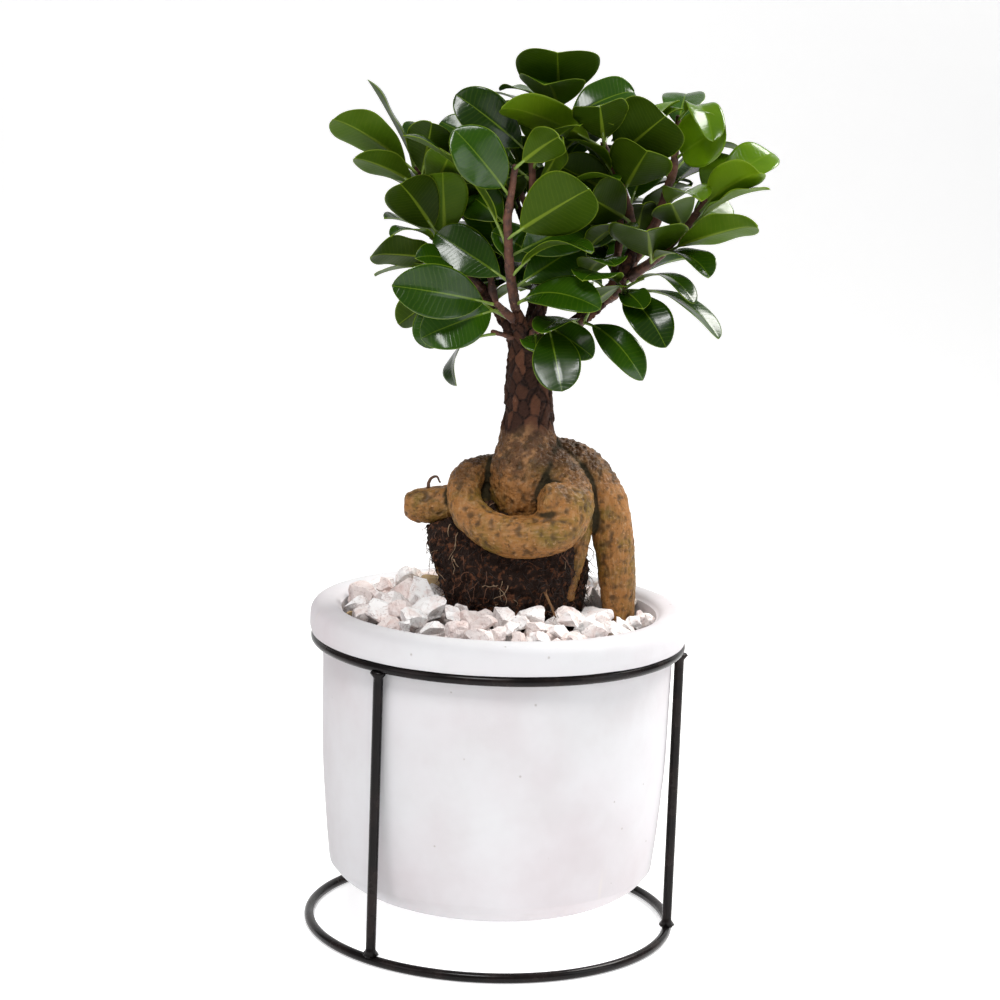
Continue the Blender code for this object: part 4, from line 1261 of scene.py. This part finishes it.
def leaf_rings(tip):
    """The three rings of four points behind a leaf's tip, or None if this is no tip."""
    if len(tip.link_edges) != 4:
        return None
    seen, layer, rings = {tip}, [tip], []
    for _ in RING_SHARES:
        found = {edge.other_vert(vert) for vert in layer for edge in vert.link_edges} - seen
        if len(found) != 4:
            return None
        for vert in found:
            if sum(edge.other_vert(vert) in found for edge in vert.link_edges) != 2:
                return None
        layer = sorted(found, key=lambda vert: vert.index)
        seen |= found
        rings.append(layer)
    widest = max((a.co - b.co).length for a in rings[1] for b in rings[1])
    return rings if widest > 8 * MM else None


def read_ring(ring):
    """The two margins, and the midrib's points above and below, of one ring."""
    pairs = [(a, b) for i, a in enumerate(ring) for b in ring[i + 1:]]
    one, other = max(pairs, key=lambda pair: (pair[0].co - pair[1].co).length)
    middle = (one.co + other.co) / 2
    upper, lower = sorted((v for v in ring if v not in (one, other)),
                          key=lambda vert: (vert.co - middle).length)
    return one.co, other.co, upper.co, lower.co


def read_leaf(tip, rings):
    """A leaf's root, crest, tip, upper direction and half width, from its rings."""
    sections = [read_ring(ring) for ring in rings]
    top = sum((upper - lower for _, _, upper, lower in sections), Vector()).normalized()
    table = [((1 - s) ** 2, 2 * s * (1 - s)) for s in RING_SHARES]
    wanted = [np.array(upper - tip.co * s * s) for (_, _, upper, _), s in zip(sections, RING_SHARES)]
    solved = np.linalg.lstsq(np.array(table), np.array(wanted), rcond=None)[0]
    half = (sections[1][0] - sections[1][1]).length / 2
    return {"root": Vector(solved[0]), "crest": Vector(solved[1]), "tip": tip.co.copy(),
            "top": top, "half": half}


def read_shoot(node):
    """The shoot's leaves, and what is left of its mesh without them: the twig."""
    work = welded_copy(node)
    leaves, spent = [], set()
    for vert in work.verts:
        rings = leaf_rings(vert)
        if rings:
            leaves.append(read_leaf(vert, rings))
            spent.add(vert)
            spent.update(v for ring in rings for v in ring)
            foot = {edge.other_vert(v) for v in rings[-1] for edge in v.link_edges}
            foot -= spent
            if len(foot) == 4:
                spent |= foot
    bmesh.ops.delete(work, geom=sorted(spent, key=lambda v: v.index), context="VERTS")
    bmesh.ops.holes_fill(work, edges=work.edges[:], sides=0)
    bmesh.ops.triangulate(work, faces=work.faces[:])
    return leaves, work


shoots = {node: read_shoot(node) for node in sorted(nodes) if node.startswith("shoot_")}
print("leaves:", sum(len(leaves) for leaves, _ in shoots.values()), "on", len(shoots), "shoots")

# %% [markdown]
# ## Growing the leaves
#
# A fig leaf is leathery: widest past its middle, blunt at the tip and drawn down to a short
# stalk, and a wide leaf is rounder at both ends than a slim one. It is folded a little along a
# midrib that is sunk on the upper face and stands out below. Its side veins are fine and
# nearly square to the midrib, and its margin is a thin pale line. No two lie the same way, so
# each blade also waves, twists and bends its tip by a little, drawn from seeded dice.
#
# A blade is a closed thin shell: a grid for the upper face and one for the lower, joined round
# the margin. Each point keeps its distance from midrib and margin in millimetres, so that the
# material can draw both lines at their true width.

# %% Leaf shape
ALONG_STEPS = 26
ACROSS_STEPS = 7            # on each side of the midrib
BLADE_THICK = 0.38 * MM
STALK_RADIUS = 0.72 * MM
STALK_SIDES = 8
# spots, in millimetres from the pot's axis, where the newest leaves stand, and how far they reach
YOUNG_SPOTS = [((0, -33, 398), 12), ((12, -30, 414), 10), ((80, 4, 410), 24), ((96, -5, 384), 18),
               ((104, -8, 396), 18), ((-50, 4, 400), 9)]


def outline(share, opens, closes):
    """The blade's half width at a share of its length, as a share of its greatest."""
    widest = opens / (opens + closes)
    peak = widest ** opens * (1 - widest) ** closes
    return share ** opens * (1 - share) ** closes / peak


def youth(leaf):
    """From 0 for a grown leaf to 1 for one that has just opened."""
    middle = (leaf["root"] + leaf["tip"]) / 2 - pot_axis
    found = 0.0
    for spot, reach in YOUNG_SPOTS:
        away = (middle - Vector(spot) * MM).length / (reach * MM)
        found = max(found, 1.0 - away * away)
    return max(found, 0.0) ** 0.5


def leaf_frame(leaf, share):
    """The midrib's place, direction, side and top at a share of the leaf."""
    back = 1 - share
    root, crest, tip = leaf["root"], leaf["crest"], leaf["tip"]
    place = root * back * back + crest * 2 * back * share + tip * share * share
    ahead = ((crest - root) * back + (tip - crest) * share).normalized()
    top = (leaf["top"] - ahead * leaf["top"].dot(ahead)).normalized()
    return place, ahead, ahead.cross(top), top


def grow_blade(leaf, dice, young):
    """Points, faces, marks and face kinds of a blade."""
    length = (leaf["tip"] - leaf["root"]).length
    half = leaf["half"]
    wave, waves, phase = dice.uniform(0.2, 1.0) * MM, dice.uniform(1.2, 2.3), dice.uniform(0, 6.28)
    twist = math.radians(dice.gauss(0, 9))
    fold = dice.uniform(0.10, 0.34) + 0.25 * young
    bend = dice.gauss(0.0, 0.9) * MM
    hook = dice.uniform(-0.5, 2.4) * MM
    tone = dice.random()
    roundness = min(max(2 * half / length - 0.45, 0.0), 0.5)
    opens = 0.90 - 0.75 * roundness
    closes = dice.uniform(0.50, 0.68) - 0.35 * roundness
    rows = []
    for step in range(ALONG_STEPS + 1):
        share = 0.5 - 0.5 * math.cos(math.pi * step / ALONG_STEPS)
        share = 0.35 * step / ALONG_STEPS + 0.65 * share
        place, _, side, top = leaf_frame(leaf, BLADE_START + (1 - BLADE_START) * share)
        turn = twist * (share - 0.4)
        side, top = (side * math.cos(turn) + top * math.sin(turn),
                     top * math.cos(turn) - side * math.sin(turn))
        place = place + top * (bend * math.sin(math.pi * share) - hook * max(share - 0.75, 0) ** 2 * 16)
        rows.append((share, place, side, top, max(outline(share, opens, closes) * half, 0.35 * MM)))
    columns = [i / ACROSS_STEPS for i in range(-ACROSS_STEPS, ACROSS_STEPS + 1)]
    points, marks, faces, kinds = [], [], [], []
    for upper in (True, False):
        for share, place, side, top, wide in rows:
            for column in columns:
                across = math.copysign(abs(column) ** 0.9, column) * wide
                reach = abs(across)
                lift = fold * (math.sqrt(reach ** 2 + (1.2 * MM) ** 2) - 1.2 * MM)
                lift -= 0.10 * fold * reach * reach / max(half, MM) * 2
                edge = abs(column) ** 2 * min(share * 3, 1.0)
                lift += wave * edge * math.sin(2 * math.pi * waves * share + phase + (column > 0) * 1.3)
                rib = math.exp(-(reach / (0.75 * MM)) ** 2) * (1 - 0.75 * share)
                vein = math.sin((share * length - 0.35 * reach) / (1.15 * MM)) * (1 - edge) * 0.035 * MM
                thick = BLADE_THICK * (1 - 0.55 * edge ** 2)
                if upper:
                    rise = lift + thick / 2 - 0.28 * MM * rib + vein
                else:
                    rise = lift - thick / 2 - 0.62 * MM * rib
                points.append(place + side * across + top * rise)
                marks.append((reach / MM, (wide - reach) / MM, share, tone, young, float(upper)))
    wide_count, tall_count = len(columns), len(rows)
    shift = wide_count * tall_count
    for row in range(tall_count - 1):
        for column in range(wide_count - 1):
            a = row * wide_count + column
            b, c, d = a + 1, a + wide_count + 1, a + wide_count
            faces.append((a, b, c, d))
            kinds.append(0)
            faces.append((shift + d, shift + c, shift + b, shift + a))
            kinds.append(1)
        for a, b in ((row * wide_count, (row + 1) * wide_count),
                     ((row + 2) * wide_count - 1, (row + 1) * wide_count - 1)):
            faces.append((a, b, shift + b, shift + a))
            kinds.append(1)
    for column in range(wide_count - 1):
        last = (tall_count - 1) * wide_count + column
        faces.append((column + 1, column, shift + column, shift + column + 1))
        faces.append((last, last + 1, shift + last + 1, shift + last))
        kinds += [1, 1]
    return points, marks, faces, kinds, tone


def grow_stalk(leaf, tone, young):
    """A round stalk that runs on into the midrib."""
    rings = []
    for share in (0.005, 0.05, 0.10, 0.15, 0.20, 0.27):
        place, _, side, top = leaf_frame(leaf, share)
        slim = 1.25 - 1.6 * share if share < 0.1 else 1.09 - 2.6 * (share - 0.1)
        rings.append((place - top * 0.25 * MM, side, top, STALK_RADIUS * slim))
    points, faces = [], []
    for place, side, top, radius in rings:
        for corner in range(STALK_SIDES):
            angle = 2 * math.pi * corner / STALK_SIDES
            points.append(place + side * radius * math.cos(angle) + top * radius * math.sin(angle))
    for ring in range(len(rings) - 1):
        for corner in range(STALK_SIDES):
            a = ring * STALK_SIDES + corner
            b = ring * STALK_SIDES + (corner + 1) % STALK_SIDES
            faces.append((a, b, b + STALK_SIDES, a + STALK_SIDES))
    faces.append(tuple(reversed(range(STALK_SIDES))))
    faces.append(tuple((len(rings) - 1) * STALK_SIDES + c for c in range(STALK_SIDES)))
    marks = [(0.0, 5.0, 0.0, tone, young, 0.0)] * len(points)
    return points, marks, faces


# %% [markdown]
# ## Twigs
#
# What is left of a CAD shoot without its leaves is a twig with straight sides. It is remeshed
# and eased until it is round, its foot is drawn onto the limb that it grows from, and it gets
# the small swellings of leaf scars.

# %% Twig shape
TWIG_CELL = 0.55 * MM
trunk_skin = BVHTree.FromPolygons([v.co for v in rootstock.data.vertices],
                                  [tuple(p.vertices) for p in rootstock.data.polygons])


def shape_twig(work, name):
    data = modified(as_mesh(work, name),
                    ("REMESH", {"mode": "VOXEL", "voxel_size": TWIG_CELL}),
                    ("SMOOTH", {"factor": 0.5, "iterations": 5}))
    points, outward = coordinates(data), normals(data)
    knots = noise_at(points, 5 * MM) * 0.35 + noise_at(points, 1.6 * MM, 3) * 0.22
    points = points + outward * ((knots + 0.18) * MM)[:, None]
    reach = 2.4 * MM
    for i, point in enumerate(points):
        nearest, normal, _, away = trunk_skin.find_nearest(Vector(point), reach)
        if nearest is not None:
            sunk = nearest - normal * 0.9 * MM
            share = (1 - away / reach) ** 1.5 * 0.9
            points[i] = point * (1 - share) + np.array(sunk) * share
    move_to(data, points)
    return data


# %% Put a shoot together


def build_shoot(number, node, leaves, work, materials):
    dice = random.Random(100 + number)
    twig = shape_twig(work, node + "_twig")
    points = [tuple(v.co) for v in twig.vertices]
    faces = [tuple(p.vertices) for p in twig.polygons]
    kinds = [0] * len(faces)
    marks = [(0.0, 5.0, 0.0, 0.5, 0.0, 0.0)] * len(points)
    for leaf in leaves:
        young = youth(leaf)
        blade = grow_blade(leaf, dice, young)
        stalk = grow_stalk(leaf, blade[4], young)
        for some_points, some_marks, some_faces, some_kinds in (
                (*blade[:3], [kind + 2 for kind in blade[3]]),
                (*stalk, [1] * len(stalk[2]))):
            base = len(points)
            points += [tuple(p) for p in some_points]
            marks += some_marks
            faces += [tuple(base + i for i in face) for face in some_faces]
            kinds += some_kinds
    data = mesh_from(node + "_leaves", points, faces)
    for face, kind in zip(data.polygons, kinds):
        face.material_index = kind
    marks = np.array(marks)
    store(data, "leaf_lines", marks[:, :3])
    store(data, "leaf_kind", marks[:, 3:])
    return add_piece(node + "_leaves", data, [node], materials)


# %% [markdown]
# ### Leaf finishes
#
# The upper face is dark green under a clear wax, so it is smooth, has a thin coat and shines
# white where it faces a lamp. The lower face is matt and lighter. Both let light through, which
# makes a leaf glow against the light, so a share of each is a translucent shader with a
# yellower green. One node group, *leaf paint*, draws what the two faces share: the midrib, the
# pale margin, the side veins, blotches, and the turn to yellow-green in new leaves.

# %% Leaf materials


def make_leaf_paint():
    group, given, out = new_group(
        "leaf paint",
        [("Grown", "colour", (0, 0, 0)), ("New", "colour", (0, 0, 0)), ("Rib", "colour", (1, 1, 1)),
         ("Rib width", "value", 0.5), ("Margin width", "value", 0.3), ("Rib strength", "value", 1.0)],
        [("Colour", "colour"), ("Height", "value"), ("New share", "value")])
    place = object_place(group)
    across, margin, along = split(group, attribute(group, "leaf_lines", "Vector"))[:3]
    tone, young, _ = split(group, attribute(group, "leaf_kind", "Vector"))[:3]
    uneven = maths(group, "MULTIPLY_ADD", tone, 0.9, 0.55)
    grown = add_node(group, "Mix", data_type="RGBA", blend_type="MULTIPLY")
    grown.inputs[0].default_value = 1.0
    group.links.new(given["Grown"], grown.inputs[6])
    group.links.new(uneven, grown.inputs[7])
    leafy = mixed(group, young, grown.outputs[2], given["New"])
    cloud = clouds(group, place, 70.0, detail=4.0, roughness=0.6)
    leafy = mixed(group, spread(group, cloud, 0.35, 0.65, 0.0, 0.35), leafy, given["Rib"], "SOFT_LIGHT")
    side = maths(group, "MULTIPLY", across, 0.38)
    run = maths(group, "SUBTRACT", maths(group, "MULTIPLY", along, 44.0), side)
    wobble = maths(group, "MULTIPLY_ADD", clouds(group, place, 160.0, detail=1.0), 1.6, run)
    ripple = maths(group, "SINE", maths(group, "MULTIPLY", wobble, 2.6))
    vein = spread(group, ripple, 0.72, 1.0)
    leafy = mixed(group, maths(group, "MULTIPLY", vein, 0.10), leafy, given["Rib"])
    slim = maths(group, "MULTIPLY", given["Rib width"], spread(group, along, 0.0, 1.0, 1.5, 0.35))
    rib = spread(group, maths(group, "DIVIDE", across, slim), 0.55, 1.25, 1.0, 0.0)
    rib_share = maths(group, "MULTIPLY", rib, given["Rib strength"])
    leafy = mixed(group, rib_share, leafy, given["Rib"])
    rim = spread(group, maths(group, "DIVIDE", margin, given["Margin width"]), 0.6, 1.6, 0.9, 0.0)
    leafy = mixed(group, rim, leafy, given["Rib"])
    scar = use_group(group, MOTTLE, {"Place": place, "First": (0, 0, 0), "Second": (1, 1, 1),
                                     "Scale": 210.0, "Cover": 0.215, "Softness": 0.02})
    leafy = mixed(group, maths(group, "MULTIPLY", scar["Mask"], 0.5), leafy, (0.035, 0.022, 0.006))
    group.links.new(leafy, out["Colour"])
    fine = maths(group, "MULTIPLY", clouds(group, place, 420.0, detail=2.0), 0.35)
    group.links.new(maths(group, "SUBTRACT", fine, maths(group, "MULTIPLY", vein, 0.55)), out["Height"])
    group.links.new(young, out["New share"])
    return group


LEAF_PAINT = make_leaf_paint()


def make_leaf_face(name, paint, glow, glow_share, roughness, shine, coat, bump):
    """A leaf's face: painted, waxed, and letting some light through."""
    made, tree, shader = new_material(name)
    found = use_group(tree, LEAF_PAINT, paint)
    normal = bumped(tree, found["Height"], 0.10 * MM, bump)
    join(tree, shader, base_color=found["Colour"], roughness=roughness, normal=normal)
    shader.inputs["Coat Weight"].default_value = coat
    shader.inputs["Coat Roughness"].default_value = 0.14
    shader.inputs["Specular IOR Level"].default_value = shine
    light = add_node(tree, "BsdfTranslucent",
                     {"Color": mixed(tree, found["New share"], glow[0], glow[1])})
    blend = add_node(tree, "MixShader", {0: glow_share, 1: shader.outputs[0], 2: light.outputs[0]})
    tree.links.new(blend.outputs[0], tree.nodes["Material Output"].inputs["Surface"])
    return made


def make_stalk():
    made, tree, shader = new_material("leaf_stalk")
    place = object_place(tree)
    colour = use_group(tree, MOTTLE, {"Place": place, "First": (0.20, 0.30, 0.045),
                                      "Second": (0.13, 0.19, 0.03), "Scale": 160.0,
                                      "Cover": 0.45, "Softness": 0.15})
    join(tree, shader, base_color=colour["Colour"], roughness=0.42)
    return made


def make_twig_bark():
    made, tree, shader = new_material("twig_bark")
    place = object_place(tree)
    skin = use_group(tree, MOTTLE, {"Place": place, "First": (0.115, 0.042, 0.022),
                                    "Second": (0.045, 0.018, 0.012), "Scale": 190.0,
                                    "Cover": 0.48, "Softness": 0.12})
    spots = use_group(tree, MOTTLE, {"Place": place, "First": (0, 0, 0), "Second": (1, 1, 1),
                                     "Scale": 480.0, "Cover": 0.36, "Softness": 0.05})
    colour = mixed(tree, maths(tree, "MULTIPLY", spots["Mask"], 0.6), skin["Colour"], (0.26, 0.13, 0.075))
    surface = use_group(tree, GRIT, {"Place": place, "Grain": 700.0, "Pits": 420.0,
                                     "Pit depth": 0.6})
    join(tree, shader, base_color=colour, roughness=0.68,
         normal=bumped(tree, surface["Height"], 0.35 * MM, 0.8))
    return made


leaf_top = make_leaf_face(
    "leaf_upper_face",
    {"Grown": (0.020, 0.060, 0.002), "New": (0.15, 0.27, 0.005), "Rib": (0.16, 0.26, 0.015),
     "Rib width": 0.42, "Margin width": 0.30, "Rib strength": 0.7},
    ((0.07, 0.19, 0.004), (0.45, 0.62, 0.01)), 0.24, 0.20, 0.30, 0.30, 0.5)
leaf_under = make_leaf_face(
    "leaf_lower_face",
    {"Grown": (0.056, 0.106, 0.003), "New": (0.19, 0.31, 0.006), "Rib": (0.21, 0.30, 0.020),
     "Rib width": 0.70, "Margin width": 0.28, "Rib strength": 0.8},
    ((0.08, 0.21, 0.003), (0.45, 0.62, 0.01)), 0.24, 0.42, 0.12, 0.0, 0.5)
leaf_materials = [make_twig_bark(), make_stalk(), leaf_top, leaf_under]
crown = [build_shoot(number, node, leaves, work, leaf_materials)
         for number, (node, (leaves, work)) in enumerate(shoots.items())]
print("crown faces:", sum(len(piece.data.polygons) for piece in crown))
